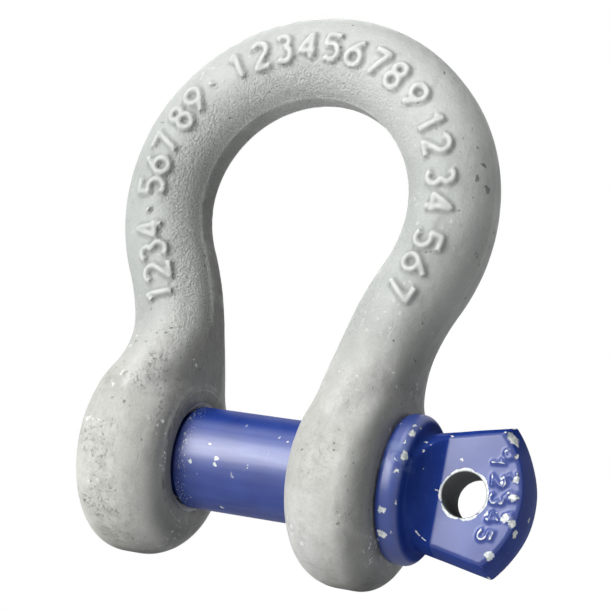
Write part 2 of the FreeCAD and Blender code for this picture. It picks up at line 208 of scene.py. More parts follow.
def chained(tree, operation, first, *others):
    for other in others:
        first = calc(tree, operation, first, other)
    return first


def times(tree, *values):
    return chained(tree, "MULTIPLY", *values)


def total(tree, *values):
    return chained(tree, "ADD", *values)


def most(tree, *values):
    return chained(tree, "MAXIMUM", *values)


def fade(tree, value, start, end, low=0.0, high=1.0):
    """Goes smoothly from low to high as the value goes from start to end."""
    node = tree.nodes.new("ShaderNodeMapRange")
    node.interpolation_type = "SMOOTHSTEP"
    names = ("Value", "From Min", "From Max", "To Min", "To Max")
    for name, given in zip(names, (value, start, end, low, high)):
        feed(tree, given, node.inputs[name])
    return node.outputs[0]


def vector(tree, operation, *inputs):
    node = add(tree, "ShaderNodeVectorMath", *inputs, operation=operation)
    return node.outputs["Value" if operation in ("DOT_PRODUCT", "LENGTH") else "Vector"]


def scaled(tree, direction, factor):
    node = tree.nodes.new("ShaderNodeVectorMath")
    node.operation = "SCALE"
    feed(tree, direction, node.inputs["Vector"])
    feed(tree, factor, node.inputs["Scale"])
    return node.outputs["Vector"]


def tube(tree, curves, radius, sides):
    """Gives curves a round section, with closed ends."""
    section = add(tree, "GeometryNodeCurvePrimitiveCircle", sides)
    tree.links.new(radius, section.inputs["Radius"])
    swept = add(tree, "GeometryNodeCurveToMesh", curves, section.outputs[0])
    swept.inputs["Fill Caps"].default_value = True
    return swept.outputs[0]


def placed(tree, geometry, place):
    """Moves every point to the given place."""
    node = add(tree, "GeometryNodeSetPosition", geometry)
    tree.links.new(place, node.inputs["Position"])
    return node.outputs[0]


def close_tree(tree, geometry):
    """Every tree ends the same way: real geometry, with a material."""
    real = add(tree, "GeometryNodeRealizeInstances", geometry)
    dressed = add(tree, "GeometryNodeSetMaterial", real.outputs[0])
    dressed.inputs["Material"].default_value = bare
    tree.links.new(dressed.outputs[0], tree.nodes.new("NodeGroupOutput").inputs[0])


def grow(obj, tree, **values):
    """Runs a tree on an object and keeps the result as its plain mesh."""
    modifier = obj.modifiers.new(tree.name, "NODES")
    modifier.node_group = tree
    ids = {s.name: s.identifier for s in tree.interface.items_tree if s.in_out == "INPUT"}
    for label, value in values.items():
        modifier[ids[label.replace("_", " ")]] = value
    settle(obj)
    print(f"{tree.name}: {len(obj.data.vertices)} vertices")
    return obj


bare = bpy.data.materials.new("bare_forging")

# %% [markdown]
# ## The centre line of the bow
#
# A smith bends the bow from a round bar. Its centre line is two plain arcs a side: a large one over the
# crown, and one that brings each leg back to upright above its eye. One chain of points holds that line;
# the bar is swept along it, and the raised figures follow it too.

# %% Draw the centre line
bend_drop = CROWN_MIDDLE - LEG_BEND_START
reach = EYE_MIDDLE ** 2 + bend_drop ** 2 - CROWN_RADIUS ** 2
BEND_RADIUS = reach / (2 * (CROWN_RADIUS - EYE_MIDDLE))
lean = math.asin(bend_drop / (CROWN_RADIUS + BEND_RADIUS))

crown = [
    (CROWN_RADIUS * math.sin(a), CROWN_MIDDLE + CROWN_RADIUS * math.cos(a))
    for a in np.linspace(0, math.pi / 2 + lean, 120)
]
bend = [
    (EYE_MIDDLE + BEND_RADIUS - BEND_RADIUS * math.cos(a), LEG_BEND_START + BEND_RADIUS * math.sin(a))
    for a in np.linspace(lean, 0, 50)
]
leg = [(EYE_MIDDLE, z) for z in np.linspace(LEG_BEND_START, 2, 30)]
right_half = crown + bend[1:] + leg[1:]
line_points = [(-x, 0, z) for x, z in right_half[:0:-1]] + [(x, 0, z) for x, z in right_half]
bow_line = chain("bow_line", line_points)
steps = np.diff(np.array(line_points), axis=0)
LINE_LENGTH = float(np.linalg.norm(steps, axis=1).sum())
print(f"centre line {LINE_LENGTH:.1f} mm long")

# %% [markdown]
# ## The bar and its necks
#
# Along the crown the bar is round. Towards each eye it spreads front to back into a neck as deep as the
# eye. Where the dies met, the flash was trimmed off: a flat band with crisp edges runs along the inside of
# the bow, and a faint one outside. All three follow one rule along one line, which suits Geometry Nodes:
# sweep a circle, then move each point by where it sits round the bar and how high up the leg it is.

# %% Sweep the bar
tree, given = new_tree(
    "bar_sweep", Bar_radius=10.0, Neck_depth=20.0, Neck_top=33.0, Neck_foot=10.0, Band_inset=0.2,
    Band_width=7.0, Outer_trim=0.1
)
line = add(tree, "GeometryNodeMeshToCurve", given["Geometry"])
centre = add(tree, "GeometryNodeCaptureAttribute", line.outputs[0], domain="POINT")
centre.capture_items.new("VECTOR", "Centre")
centre.capture_items.new("VECTOR", "Tangent")
tree.links.new(add(tree, "GeometryNodeInputPosition").outputs[0], centre.inputs["Centre"])
tree.links.new(add(tree, "GeometryNodeInputTangent").outputs[0], centre.inputs["Tangent"])
round_bar = tube(tree, centre.outputs["Geometry"], given["Bar radius"], 144)
middle, tangent = centre.outputs["Centre"], centre.outputs["Tangent"]
across = vector(tree, "SUBTRACT", add(tree, "GeometryNodeInputPosition").outputs[0], middle)
out = vector(tree, "NORMALIZE", vector(tree, "CROSS_PRODUCT", tangent, (0, 1, 0)))
level = vector(tree, "DOT_PRODUCT", across, out)
level = calc(tree, "MINIMUM", level, calc(tree, "SUBTRACT", given["Bar radius"], given["Outer trim"]))
band = calc(tree, "SUBTRACT", given["Band inset"], given["Bar radius"])
level = calc(tree, "MAXIMUM", level, band)
sideways = calc(tree, "ABSOLUTE", add(tree, "ShaderNodeSeparateXYZ", across).outputs["Y"])
on_band = calc(tree, "LESS_THAN", sideways, calc(tree, "DIVIDE", given["Band width"], 2.0))
on_band = times(tree, on_band, calc(tree, "LESS_THAN", level, 0.0))
level = calc(tree, "ADD", level, times(tree, on_band, calc(tree, "SUBTRACT", band, level)))
height = add(tree, "ShaderNodeSeparateXYZ", middle).outputs["Z"]
widest = calc(tree, "DIVIDE", given["Neck depth"], given["Bar radius"])
spread = fade(tree, height, given["Neck top"], given["Neck foot"], 1.0, widest)
depth = times(tree, add(tree, "ShaderNodeSeparateXYZ", across).outputs["Y"], spread)
place = vector(tree, "ADD", middle, scaled(tree, out, level))
place = vector(tree, "ADD", place, scaled(tree, (0, 1, 0), depth))
close_tree(tree, placed(tree, round_bar, place))

bar = chain("bar", line_points)
grow(
    bar, tree, Bar_radius=BAR_RADIUS, Neck_depth=EYE_RADIUS - 1.2, Neck_top=33.5, Neck_foot=9.5,
    Band_inset=0.2, Band_width=7.0, Outer_trim=0.15
)

# %% [markdown]
# ## The eyes
#
# Each eye is a thick disc whose rim is rounded so far that it looks like a ring, more on the jaw's side than
# on the outside. A solid of revolution is the natural way, because the die was turned too. The holes come
# last, as they do in the workshop.

# %% Turn the eyes
INNER_RIM = 10.0
OUTER_RIM = 6.5


def eye(name, side):
    """The eye on one side of the jaw: 1 is the near one, by the pin's head, and -1 the far one."""
    inner = arc(INNER_FACE + INNER_RIM, EYE_RADIUS - INNER_RIM, INNER_RIM, 180, 90, 18)
    outer = arc(OUTER_FACE - OUTER_RIM, EYE_RADIUS - OUTER_RIM, OUTER_RIM, 90, 0, 14)
    outline = [(INNER_FACE, 0)] + inner + outer + [(OUTER_FACE, 0)]
    return turned(name, [(side * x, r) for x, r in outline])


eyes = [eye("near_eye", 1), eye("far_eye", -1)]
print("eyes:", [len(e.data.vertices) for e in eyes], "vertices")

# %% [markdown]
# ## Raised figures
#
# Forged bows carry raised characters, pressed out by the die, in a row that follows the bar. Here they are
# plain running digits and dots with no meaning. A stroke font suits forged figures better than an outline
# font, because a die's figures are rounded ridges: each stroke is a line, laid on the bar by Geometry
# Nodes and given a round section, and then fused with the bar.

# %% A small stroke font
FONT = {  # each character's strokes, in a box about 0.6 wide and 1 high
    "0": [arc(0.3, 0.7, 0.3, 0, 180) + arc(0.3, 0.3, 0.3, 180, 360)],
    "1": [[(0.1, 0.78), (0.35, 1.0), (0.35, 0.0)]],
    "2": [arc(0.3, 0.71, 0.29, 160, -40) + [(0.02, 0.0), (0.62, 0.0)]],
    "3": [arc(0.28, 0.76, 0.24, 150, -80), arc(0.28, 0.27, 0.28, 80, -150)],
    "4": [[(0.45, 0.0), (0.45, 1.0), (0.0, 0.3), (0.64, 0.3)]],
    "5": [[(0.56, 1.0), (0.1, 1.0), (0.06, 0.56)] + arc(0.28, 0.31, 0.31, 115, -140)],
    "6": [[(0.5, 1.0)] + arc(0.3, 0.3, 0.3, 150, 510)],
    "7": [[(0.0, 1.0), (0.6, 1.0), (0.22, 0.0)]],
    "8": [arc(0.3, 0.76, 0.23, -90, 270), arc(0.3, 0.27, 0.28, 90, 450)],
    "9": [[(0.12, 0.0)] + arc(0.3, 0.7, 0.3, -30, 330)],
    ".": [[(0.2, 0.45), (0.3, 0.55)]],
}


FONT_WIDTH = 0.6


def write(text, first, pitch, height, width):
    """The strokes of a row of characters, as chains of (along, up, 0), with the middle of the first one at
    a given place along the row."""
    strokes = []
    for i, character in enumerate(text):
        for stroke in FONT[character]:
            middle = first + i * pitch
            place = [((x / FONT_WIDTH - 0.5) * width, (y - 0.5) * height) for x, y in stroke]
            strokes.append([(middle + x, y, 0) for x, y in place])
    return strokes


def stroke_object(name, strokes):
    points, edges = [], []
    for stroke in strokes:
        first = len(points)
        points += stroke
        edges += [(first + i, first + i + 1) for i in range(len(stroke) - 1)]
    return mesh_object(name, points, edges=edges)


# %% Lay the figures on the bar
STROKE_STEP = 0.4
STROKE_SIDES = 10

tree, given = new_tree(
    "raised_figures", Bow_line=None, Start=0.0, Bar_radius=10.0, Stroke_radius=0.7, Sink=0.1
)
strokes = add(tree, "GeometryNodeMeshToCurve", given["Geometry"])
fine = add(tree, "GeometryNodeResampleCurve", strokes.outputs[0], mode="LENGTH")
fine.inputs["Length"].default_value = STROKE_STEP
flat = add(tree, "ShaderNodeSeparateXYZ", add(tree, "GeometryNodeInputPosition").outputs[0])
source = add(tree, "GeometryNodeObjectInfo", given["Bow line"])
guide = add(tree, "GeometryNodeMeshToCurve", source.outputs["Geometry"])
sample = add(tree, "GeometryNodeSampleCurve", mode="LENGTH", use_all_curves=False)
tree.links.new(guide.outputs[0], sample.inputs["Curves"])
tree.links.new(calc(tree, "ADD", given["Start"], flat.outputs["X"]), sample.inputs["Length"])
out = vector(tree, "NORMALIZE", vector(tree, "CROSS_PRODUCT", sample.outputs["Tangent"], (0, 1, 0)))
angle = calc(tree, "DIVIDE", flat.outputs["Y"], given["Bar radius"])
level = calc(tree, "SUBTRACT", given["Bar radius"], given["Sink"])
outwards = times(tree, level, calc(tree, "SINE", angle))
place = vector(tree, "ADD", sample.outputs["Position"], scaled(tree, out, outwards))
front = times(tree, calc(tree, "COSINE", angle), times(tree, level, -1.0))
place = vector(tree, "ADD", place, scaled(tree, (0, 1, 0), front))
laid = placed(tree, fine.outputs[0], place)
close_tree(tree, tube(tree, laid, given["Stroke radius"], STROKE_SIDES))

FIGURE_HEIGHT, FIGURE_WIDTH = 5.9, 3.7
ROW = [  # characters, the first one's distance from the crown along the bar, and their pitch
    ("1234.567", -83.0, 5.3), ("89", -39.0, 5.5), (".", -28.0, 5.0), ("12345678", -21.0, 6.0),
    ("9", 28.0, 5.0), ("12", 35.5, 5.5), ("34", 48.5, 6.0), ("567", 63.0, 6.0),
]
row_strokes = [s for text, first, pitch in ROW for s in write(text, first, pitch, FIGURE_HEIGHT, FIGURE_WIDTH)]
figures = stroke_object("figures", row_strokes)
grow(
    figures, tree, Bow_line=bow_line, Start=LINE_LENGTH / 2, Bar_radius=BAR_RADIUS, Stroke_radius=0.85,
    Sink=-0.25
)

# %% [markdown]
# ## One forging
#
# The bar, the eyes and the figures were one hot billet, so they must flow into each other. A voxel remesh
# fuses overlapping solids into one even skin; smoothing that skin where neck and eye meet gives the soft
# hollow that the die leaves. A little unevenness, always inwards so that the bow stays inside its solid,
# takes away the machined look.

# %% Helpers for skins
def fuse(name, parts, voxel):
    """Joins solids into one skin of nearly square faces, and removes the parts."""
    vertices, faces = [], []
    for part in parts:
        first = len(vertices)
        vertices += [v.co[:] for v in part.data.vertices]
        faces += [[first + i for i in p.vertices] for p in part.data.polygons]
        bpy.data.objects.remove(part)
    whole = mesh_object(name, vertices, faces)
    skin = whole.modifiers.new("skin", "REMESH")
    skin.mode, skin.voxel_size, skin.adaptivity = "VOXEL", voxel, 0.0
    return settle(whole)


def points_of(obj):
    points = np.empty(len(obj.data.vertices) * 3)
    obj.data.vertices.foreach_get("co", points)
    return points.reshape(-1, 3)


def put_points(obj, points):
    obj.data.vertices.foreach_set("co", np.asarray(points, float).ravel())
    obj.data.update()


def edges_of(obj):
    ends = np.empty(len(obj.data.edges) * 2, int)
    obj.data.edges.foreach_get("vertices", ends)
    return ends.reshape(-1, 2)


def spread_out(values, ends, rounds, share=1.0):
    """Moves each vertex's value towards the mean of its neighbours, a number of times."""
    values = np.asarray(values, float)
    count = np.bincount(ends.ravel(), minlength=len(values)).astype(float)
    shape = (-1,) + (1,) * (values.ndim - 1)
    share = np.broadcast_to(np.asarray(share, float), (len(values),)).reshape(shape)
    for _ in range(rounds):
        total = np.zeros_like(values)
        np.add.at(total, ends[:, 0], values[ends[:, 1]])
        np.add.at(total, ends[:, 1], values[ends[:, 0]])
        values = values + 0.5 * share * (total / count.reshape(shape) - values)
    return values


def normals_of(obj):
    normals = np.empty(len(obj.data.vertices) * 3)
    obj.data.vertices.foreach_get("normal", normals)
    return normals.reshape(-1, 3)


def ripple(points, size, seed):
    """Smooth unevenness from -1 to 1 over about the given size in millimetres."""
    return np.array([noise.noise(Vector((p[0] / size + seed, p[1] / size, p[2] / size))) for p in points])


# %% Fuse and soften the bow
BOW_VOXEL = 0.38
KEPT_FACES = 0.375
MEETING_FOOT, MEETING_TOP, MEETING_EASE = 2, 31, 6
SEAT_RADIUS, SEAT_EASE = 15.5, 3
COARSE, FINE = (0.16, 13, 3.1), (0.05, 3.5, 8.4)  # depth, size and seed of the unevenness

bow = fuse("forged_bow", [bar] + eyes + [figures], BOW_VOXEL)
points, ends = points_of(bow), edges_of(bow)
points = spread_out(points, ends, 1)
radius = np.hypot(points[:, 1], points[:, 2])
meeting = np.clip((points[:, 2] - MEETING_FOOT) / MEETING_EASE, 0, 1)
meeting = meeting * np.clip((MEETING_TOP - points[:, 2]) / MEETING_EASE, 0, 1)
off_seat = np.clip((radius - SEAT_RADIUS) / SEAT_EASE, 0, 1)
points = spread_out(points, ends, 80, meeting * off_seat)
put_points(bow, points)
low, high = points.min(0), points.max(0)
uneven = sum(depth * (ripple(points, size, seed) - 1) for depth, size, seed in (COARSE, FINE))
on_face = np.abs(np.abs(points[:, 0]) - EYE_MIDDLE) > EYE_THICKNESS / 2 - 0.6
uneven[on_face & (radius < SEAT_RADIUS + 1)] = 0
put_points(bow, points + normals_of(bow) * (0.5 * spread_out(uneven, ends, 2))[:, None])
thin = bow.modifiers.new("thin", "DECIMATE")
thin.ratio = KEPT_FACES
settle(bow)
print("bow skin:", len(points), "vertices, from", low.round(2), "to", high.round(2))

# %% [markdown]
# ## The thread
#
# The pin's thread and the far eye's are the same helix, one with the crests out and one as a cutter. A
# thread is the clearest case of a shape with a rule: the radius at any point depends only on how far it
# lies from the nearest turn. The tree starts from a plain cylinder and sets each point's radius.

# %% Build the thread tree
THREAD_SIDES = 96
RINGS_PER_TURN = 14.0
FLANK_ANGLE = math.radians(30)

tree, given = new_tree(
    "threaded_rod", Start=-36.0, Length=18.0, Minor_radius=9.5, Major_radius=10.85, Pitch=2.5, Crest=0.3,
    Ridge_at=-24.75, Tip_radius=9.25, Turned_back=0.0
)
cylinder = add(tree, "GeometryNodeMeshCylinder", fill_type="NGON")
cylinder.inputs["Vertices"].default_value = THREAD_SIDES
ring_step = calc(tree, "DIVIDE", given["Pitch"], RINGS_PER_TURN)
rings = calc(tree, "ROUND", calc(tree, "DIVIDE", given["Length"], ring_step))
tree.links.new(rings, cylinder.inputs["Side Segments"])
cylinder.inputs["Radius"].default_value = 1.0
cylinder.inputs["Depth"].default_value = 1.0
spot = add(tree, "ShaderNodeSeparateXYZ", add(tree, "GeometryNodeInputPosition").outputs[0])
along = times(tree, calc(tree, "ADD", spot.outputs["Z"], 0.5), given["Length"])
angle = calc(tree, "ARCTAN2", spot.outputs["Y"], spot.outputs["X"])
turn = calc(tree, "DIVIDE", calc(tree, "SUBTRACT", angle, math.pi / 2), 2 * math.pi)
x = calc(tree, "ADD", given["Start"], along)
pitches = calc(tree, "DIVIDE", calc(tree, "SUBTRACT", x, given["Ridge at"]), given["Pitch"])
phase = calc(tree, "SUBTRACT", pitches, turn)
away = calc(tree, "ABSOLUTE", calc(tree, "SUBTRACT", phase, calc(tree, "ROUND", phase)))
away = calc(tree, "SUBTRACT", times(tree, away, given["Pitch"]), calc(tree, "DIVIDE", given["Crest"], 2.0))
flank = calc(tree, "SUBTRACT", given["Major radius"], calc(tree, "DIVIDE", away, math.tan(FLANK_ANGLE)))
radius_here = calc(tree, "MAXIMUM", calc(tree, "MINIMUM", flank, given["Major radius"]), given["Minor radius"])
radius_here = calc(tree, "MINIMUM", radius_here, calc(tree, "ADD", given["Tip radius"], along))
moved = add(tree, "ShaderNodeCombineXYZ", x)
tree.links.new(times(tree, radius_here, calc(tree, "COSINE", angle)), moved.inputs["Y"])
tree.links.new(times(tree, radius_here, calc(tree, "SINE", angle)), moved.inputs["Z"])
close_tree(tree, placed(tree, cylinder.outputs[0], moved.outputs[0]))
thread_tree = tree

# %% [markdown]
# ## Holes and seats
#
# The near eye is drilled, the far one is tapped, and the faces that guide the pin are milled clean, which
# leaves a bright flat ring round each hole inside the jaw. The cutters are turned shapes, taken away with a
# Boolean, as a drill and a spot-facing tool would.

# %% Cut the holes
HOLE_RADIUS = 11.95
TAPPED_RADIUS = 9.65
SINK_RADIUS = 12.45
SPOT_RADIUS = 15.4
SPOT_DEPTH = 0.12
HOLE_EDGE = 0.8
TAP_LEAD, TAP_EXIT = 2.2, 1.8
PAST = 0.4


def cut(obj, *cutters):
    for cutter in cutters:
        modifier = obj.modifiers.new("cut", "BOOLEAN")
        modifier.operation, modifier.solver, modifier.object = "DIFFERENCE", "EXACT", cutter
        settle(obj)
        bpy.data.objects.remove(cutter)
    return obj


spot_near, spot_far = INNER_FACE + SPOT_DEPTH, -INNER_FACE - SPOT_DEPTH
plain_cutter = turned(
    "plain_cutter",
    [(INNER_FACE - 2, 0), (INNER_FACE - 2, SPOT_RADIUS), (spot_near, SPOT_RADIUS),
     (spot_near, HOLE_RADIUS + HOLE_EDGE), (spot_near + HOLE_EDGE, HOLE_RADIUS),
     (OUTER_FACE - HOLE_EDGE, HOLE_RADIUS), (OUTER_FACE + PAST, HOLE_RADIUS + HOLE_EDGE + PAST),
     (OUTER_FACE + PAST, 0)],
)
tapped_cutter = turned(
    "tapped_cutter",
    [(2 - INNER_FACE, 0), (2 - INNER_FACE, SPOT_RADIUS), (spot_far, SPOT_RADIUS), (spot_far, SINK_RADIUS),
     (-INNER_FACE - TAP_LEAD, TAPPED_RADIUS), (-OUTER_FACE + TAP_EXIT, TAPPED_RADIUS),
     (-OUTER_FACE - PAST, TAPPED_RADIUS + TAP_EXIT + PAST), (-OUTER_FACE - PAST, 0)],
)
cut(bow, plain_cutter, tapped_cutter)
tap = grow(
    mesh_object("tap", [(0, 0, 0)]), thread_tree, Start=-OUTER_FACE - 3, Length=EYE_THICKNESS + 5,
    Minor_radius=9.0, Major_radius=11.15, Crest=0.35, Ridge_at=-EYE_MIDDLE, Tip_radius=20.0
)
cut(bow, outward(tap))
print("bow with its holes:", len(bow.data.vertices), "vertices,", len(bow.data.polygons), "faces")

# %% [markdown]
# ## The pin's shaft
#
# From its tip the pin has a chamfer, the thread, a relief groove where the cutting tool ran out, and the
# plain shank that carries the load. The relief and shank are turned; the threaded rod ends inside them.

# %% Turn the shaft
TIP = pin_low.x
SHOULDER = -INNER_FACE - 0.4
RELIEF = SHOULDER - 2.8
RELIEF_RADIUS = 9.25
SHANK_RIM = 0.9
SHANK_END = collar_low.x + 1

rod = grow(
    mesh_object("rod", [(0, 0, 0)]), thread_tree, Start=TIP, Length=RELIEF - TIP, Minor_radius=9.45,
    Major_radius=10.85, Crest=0.32, Ridge_at=-EYE_MIDDLE, Tip_radius=RELIEF_RADIUS
)
shank = turned(
    "shank",
    [(RELIEF - 1, 0), (RELIEF - 1, RELIEF_RADIUS), (SHOULDER - 0.3, RELIEF_RADIUS)]
    + [(SHOULDER, RELIEF_RADIUS + 0.3), (SHOULDER, PIN_RADIUS - SHANK_RIM)]
    + arc(SHOULDER + SHANK_RIM, PIN_RADIUS - SHANK_RIM, SHANK_RIM, 150, 90, 5)
    + [(x, PIN_RADIUS) for x in np.linspace(SHOULDER + 3, 34, 20)] + [(SHANK_END, PIN_RADIUS), (SHANK_END, 0)],
)
print("shaft:", len(rod.data.vertices) + len(shank.data.vertices), "vertices")

# %% [markdown]
# ## The pin's head
#
# The collar is a thick washer, sharper towards the eye than outside. Behind it a round neck comes out, which
# two hollow ramps bring down to the flat lug. The lug's edges bulge, because the dies part along its middle.
# Each form is simple by itself, so each is made plainly and all are then fused into one skin.

# %% Shape the collar and the neck
NECK_RADIUS = 12.3
FLARE = 1.4
LUG_HALF = 6.0
RAMP_END = collar_high.x + 5.1
RAMP_LENGTH, RAMP_HEIGHT, RAMP_RADIUS = 4.6, 6.0, 9.0
SEAT_RIM, COLLAR_RIM = 1.5, 2.6
LUG_ROOT, LUG_WIDEST = 13.0, 16.3
CLEAR = 40

collar = turned(
    "collar",
    [(collar_low.x, 0)] + arc(collar_low.x + SEAT_RIM, COLLAR_RADIUS - SEAT_RIM, SEAT_RIM, 180, 90, 8)
    + arc(collar_high.x - COLLAR_RIM, COLLAR_RADIUS - COLLAR_RIM, COLLAR_RIM, 90, 0, 14) + [(collar_high.x, 0)],
)
neck = turned(
    "neck",
    [(collar_low.x + 2, 0), (collar_low.x + 2, NECK_RADIUS + FLARE)]
    + arc(collar_high.x + FLARE, NECK_RADIUS + FLARE, FLARE, 180, 270, 10)
    + [(RAMP_END + 1, LUG_ROOT), (RAMP_END + 1, 0)],
)


def ramp_cutter(side, length, deeper=0.0):
    """A block that takes the neck down to the lug's flat along a hollow ramp, on one side of the lug."""
    low = Vector((RAMP_END + deeper, LUG_HALF))
    high = Vector((RAMP_END + deeper - RAMP_LENGTH, LUG_HALF + RAMP_HEIGHT))
    half = (low - high) / 2
    rise = math.sqrt(RAMP_RADIUS ** 2 - half.length_squared)
    middle = high + half + Vector((-half.y, half.x)).normalized() * rise
    start, end = (math.degrees(math.atan2(p.y - middle.y, p.x - middle.x)) for p in (low, high))
    profile = arc(middle.x, middle.y, RAMP_RADIUS, start % 360, end % 360, 16)
    profile += [(high.x, CLEAR), (low.x + length, CLEAR), (low.x + length, LUG_HALF)]
    count = len(profile)
    vertices = [(x, side * y, z) for z in (-CLEAR, CLEAR) for x, y in profile]
    faces = [list(range(count)), list(range(count, 2 * count))]
    faces += [(i, (i + 1) % count, count + (i + 1) % count, count + i) for i in range(count)]
    return outward(mesh_object("ramp_cutter", vertices, faces))


cut(neck, ramp_cutter(1, 30), ramp_cutter(-1, 30))
print("collar and neck:", len(collar.data.vertices) + len(neck.data.vertices), "vertices")

# %% Shape the lug
LUG_BOW = 6.2
LUG_CORNER = pin_high.x - LUG_BOW
SIDE_DRAFT, END_DRAFT, EDGE = 2.0, 0.8, 0.6


def lug_outline(side_inset, end_inset):
    """The lug's outline at one level: straight sides that spread outwards, and a bowed end."""
    root, corner, tip = LUG_ROOT - side_inset, LUG_WIDEST - side_inset, LUG_CORNER - end_inset
    swell = (corner ** 2 + LUG_BOW ** 2) / (2 * LUG_BOW)
    half = math.degrees(math.asin(corner / swell))
    foot = collar_high.x + 1
    side = [(foot + (tip - foot) * t, root + (corner - root) * t) for t in np.linspace(0, 1, 12)]
    end = arc(tip + LUG_BOW - swell, 0, swell, half, -half, 24)
    return side + end[1:-1] + [(x, -z) for x, z in reversed(side)]


layers = []
for y in np.linspace(-LUG_HALF, LUG_HALF, 25):
    t = abs(y) / LUG_HALF
    rounding = EDGE * max(0, (t - 0.88) / 0.12) ** 2
    layers.append((y, lug_outline(SIDE_DRAFT * t ** 1.6 + rounding, END_DRAFT * t ** 1.6 + rounding)))
count = len(layers[0][1])
vertices = [(x, y, z) for y, outline in layers for x, z in outline]
faces = [list(range(count)), list(range((len(layers) - 1) * count, len(layers) * count))]
for i in range(len(layers) - 1):
    faces += [
        (i * count + j, i * count + (j + 1) % count, (i + 1) * count + (j + 1) % count, (i + 1) * count + j)
        for j in range(count)
    ]
lug = outward(mesh_object("lug", vertices, faces))
print("lug:", len(vertices), "vertices, corners at", round(LUG_CORNER, 2))

# %% Number the lug
HOLE_MIDDLE = collar_high.x + 10.6
ROW_BOW = 0.021
LUG_ROWS = [  # characters, how high the first one is, pitch, distance beyond the hole, height and width
    ("12345", 7.8, 3.85, 7.4, 2.9, 2.3), ("6789", 9.6, 4.3, 10.4, 2.0, 1.7),
]

tree, given = new_tree("lug_figures", Stroke_radius=0.45)
strokes = add(tree, "GeometryNodeMeshToCurve", given["Geometry"])
close_tree(tree, tube(tree, strokes.outputs[0], given["Stroke radius"], STROKE_SIDES))
laid = [
    [(HOLE_MIDDLE + beyond + up - ROW_BOW * along ** 2, -LUG_HALF - 0.1, -along) for along, up, _ in stroke]
    for text, top, pitch, beyond, height, width in LUG_ROWS
    for stroke in write(text, -top, pitch, height, width)
]
lug_figures = grow(stroke_object("lug_figures", laid), tree, Stroke_radius=0.42)

# %% Fuse the head, trim its ramps and drill it
LUG_HOLE_RADIUS = 4.9
HEAD_VOXEL = 0.3
DENT_DEPTH, DENT_SIZE, DENT_SEED = 0.07, 6, 5.5

head = fuse("head", [collar, neck, lug, lug_figures], HEAD_VOXEL)
points, ends = points_of(head), edges_of(head)
points = spread_out(points, ends, 1)
soft = np.clip(points[:, 0] - collar_high.x + 1, 0, 1) * np.clip((RAMP_END - points[:, 0]) / 2, 0, 1)
points = spread_out(points, ends, 6, soft)
put_points(head, points)
dents = DENT_DEPTH * (ripple(points, DENT_SIZE, DENT_SEED) - 1)
dents[points[:, 0] < collar_low.x + 0.5] = 0
put_points(head, points + normals_of(head) * dents[:, None])
cut(head, ramp_cutter(1, 0.5, deeper=0.25), ramp_cutter(-1, 0.5, deeper=0.25))
hole_cutter = turned(
    "hole_cutter",
    [(-LUG_HALF - 3, 0), (-LUG_HALF - 3, LUG_HOLE_RADIUS + 3.3), (-LUG_HALF + 0.3, LUG_HOLE_RADIUS),
     (LUG_HALF - 0.3, LUG_HOLE_RADIUS), (LUG_HALF + 3, LUG_HOLE_RADIUS + 3.3), (LUG_HALF + 3, 0)],
)
put_points(hole_cutter, points_of(hole_cutter)[:, [1, 0, 2]] + [HOLE_MIDDLE, 0, 0])
cut(head, outward(hole_cutter))
print("head:", len(head.data.vertices), "vertices")

# %% [markdown]
# ## Finished pieces
#
# The pin is one forging, so its head and its shaft become one object. It stands for both CAD nodes of the
# pin, and turns with the pin's own body. Each mesh is brought to metres in its own coordinates, which
# leaves the object itself at the origin, unturned and unscaled.

# %% Join, bring to metres and mark the edges
def join(name, parts):
    work = bmesh.new()
    for part in parts:
        work.from_mesh(part.data)
        bpy.data.objects.remove(part)
    mesh = bpy.data.meshes.new(name)
    work.to_mesh(mesh)
    work.free()
    return new_object(name, mesh)


def mark(obj, name, values):
    obj.data.attributes.new(name, "FLOAT", "POINT").data.foreach_set("value", values)


def mark_turns(obj, rounds, slight, full):
    """Keeps on each point how sharply the surface turns outwards ("edge") or inwards ("hollow") there, from 0
    to 1. Smoothing pulls such a point in or out: slightly on a round form, fully on an edge or in a corner."""
    points, ends = points_of(obj), edges_of(obj)
    pull = -((spread_out(points, ends, rounds) - points) * normals_of(obj)).sum(1)
    for name, way in (("edge", 1), ("hollow", -1)):
        sharp = spread_out(np.clip((way * pull - slight) / (full - slight), 0, 1), ends, 1)
        mark(obj, name, sharp)
        print(f"{obj.name}: {name} mark {sharp.mean():.3f}, over a half on {(sharp > 0.5).mean():.1%}")


def mark_inward(obj):
    """Keeps on each point how squarely the surface faces the inside of the bow, from -1 to 1."""
    line = np.array(line_points)[:, [0, 2]]
    along = np.gradient(line, axis=0)
    along /= np.linalg.norm(along, axis=1)[:, None]
    points, normals = points_of(obj)[:, [0, 2]], normals_of(obj)
    nearest = [np.argmin(((some[:, None] - line) ** 2).sum(2), 1) for some in np.array_split(points, 60)]
    along = along[np.concatenate(nearest)]
    mark(obj, "inward", along[:, 1] * normals[:, 0] - along[:, 0] * normals[:, 2])


def finish_piece(obj, smooth_angle):
    """Metres and smooth shading."""
    put_points(obj, points_of(obj) / 1000)
    obj.data.polygons.foreach_set("use_smooth", [True] * len(obj.data.polygons))
    obj.data.set_sharp_from_angle(angle=math.radians(smooth_angle))
    triangles = sum(len(p.vertices) - 2 for p in obj.data.polygons)
    print(f"{obj.name}: {triangles} triangles")
    return obj


mark_turns(head, 12, 0.03, 0.12)
pin = finish_piece(join("forged_pin", [rod, shank, head]), 26)
mark_turns(bow, 5, 0.02, 0.08)
mark_inward(bow)
finish_piece(bow, 40)
bpy.data.objects.remove(bow_line)

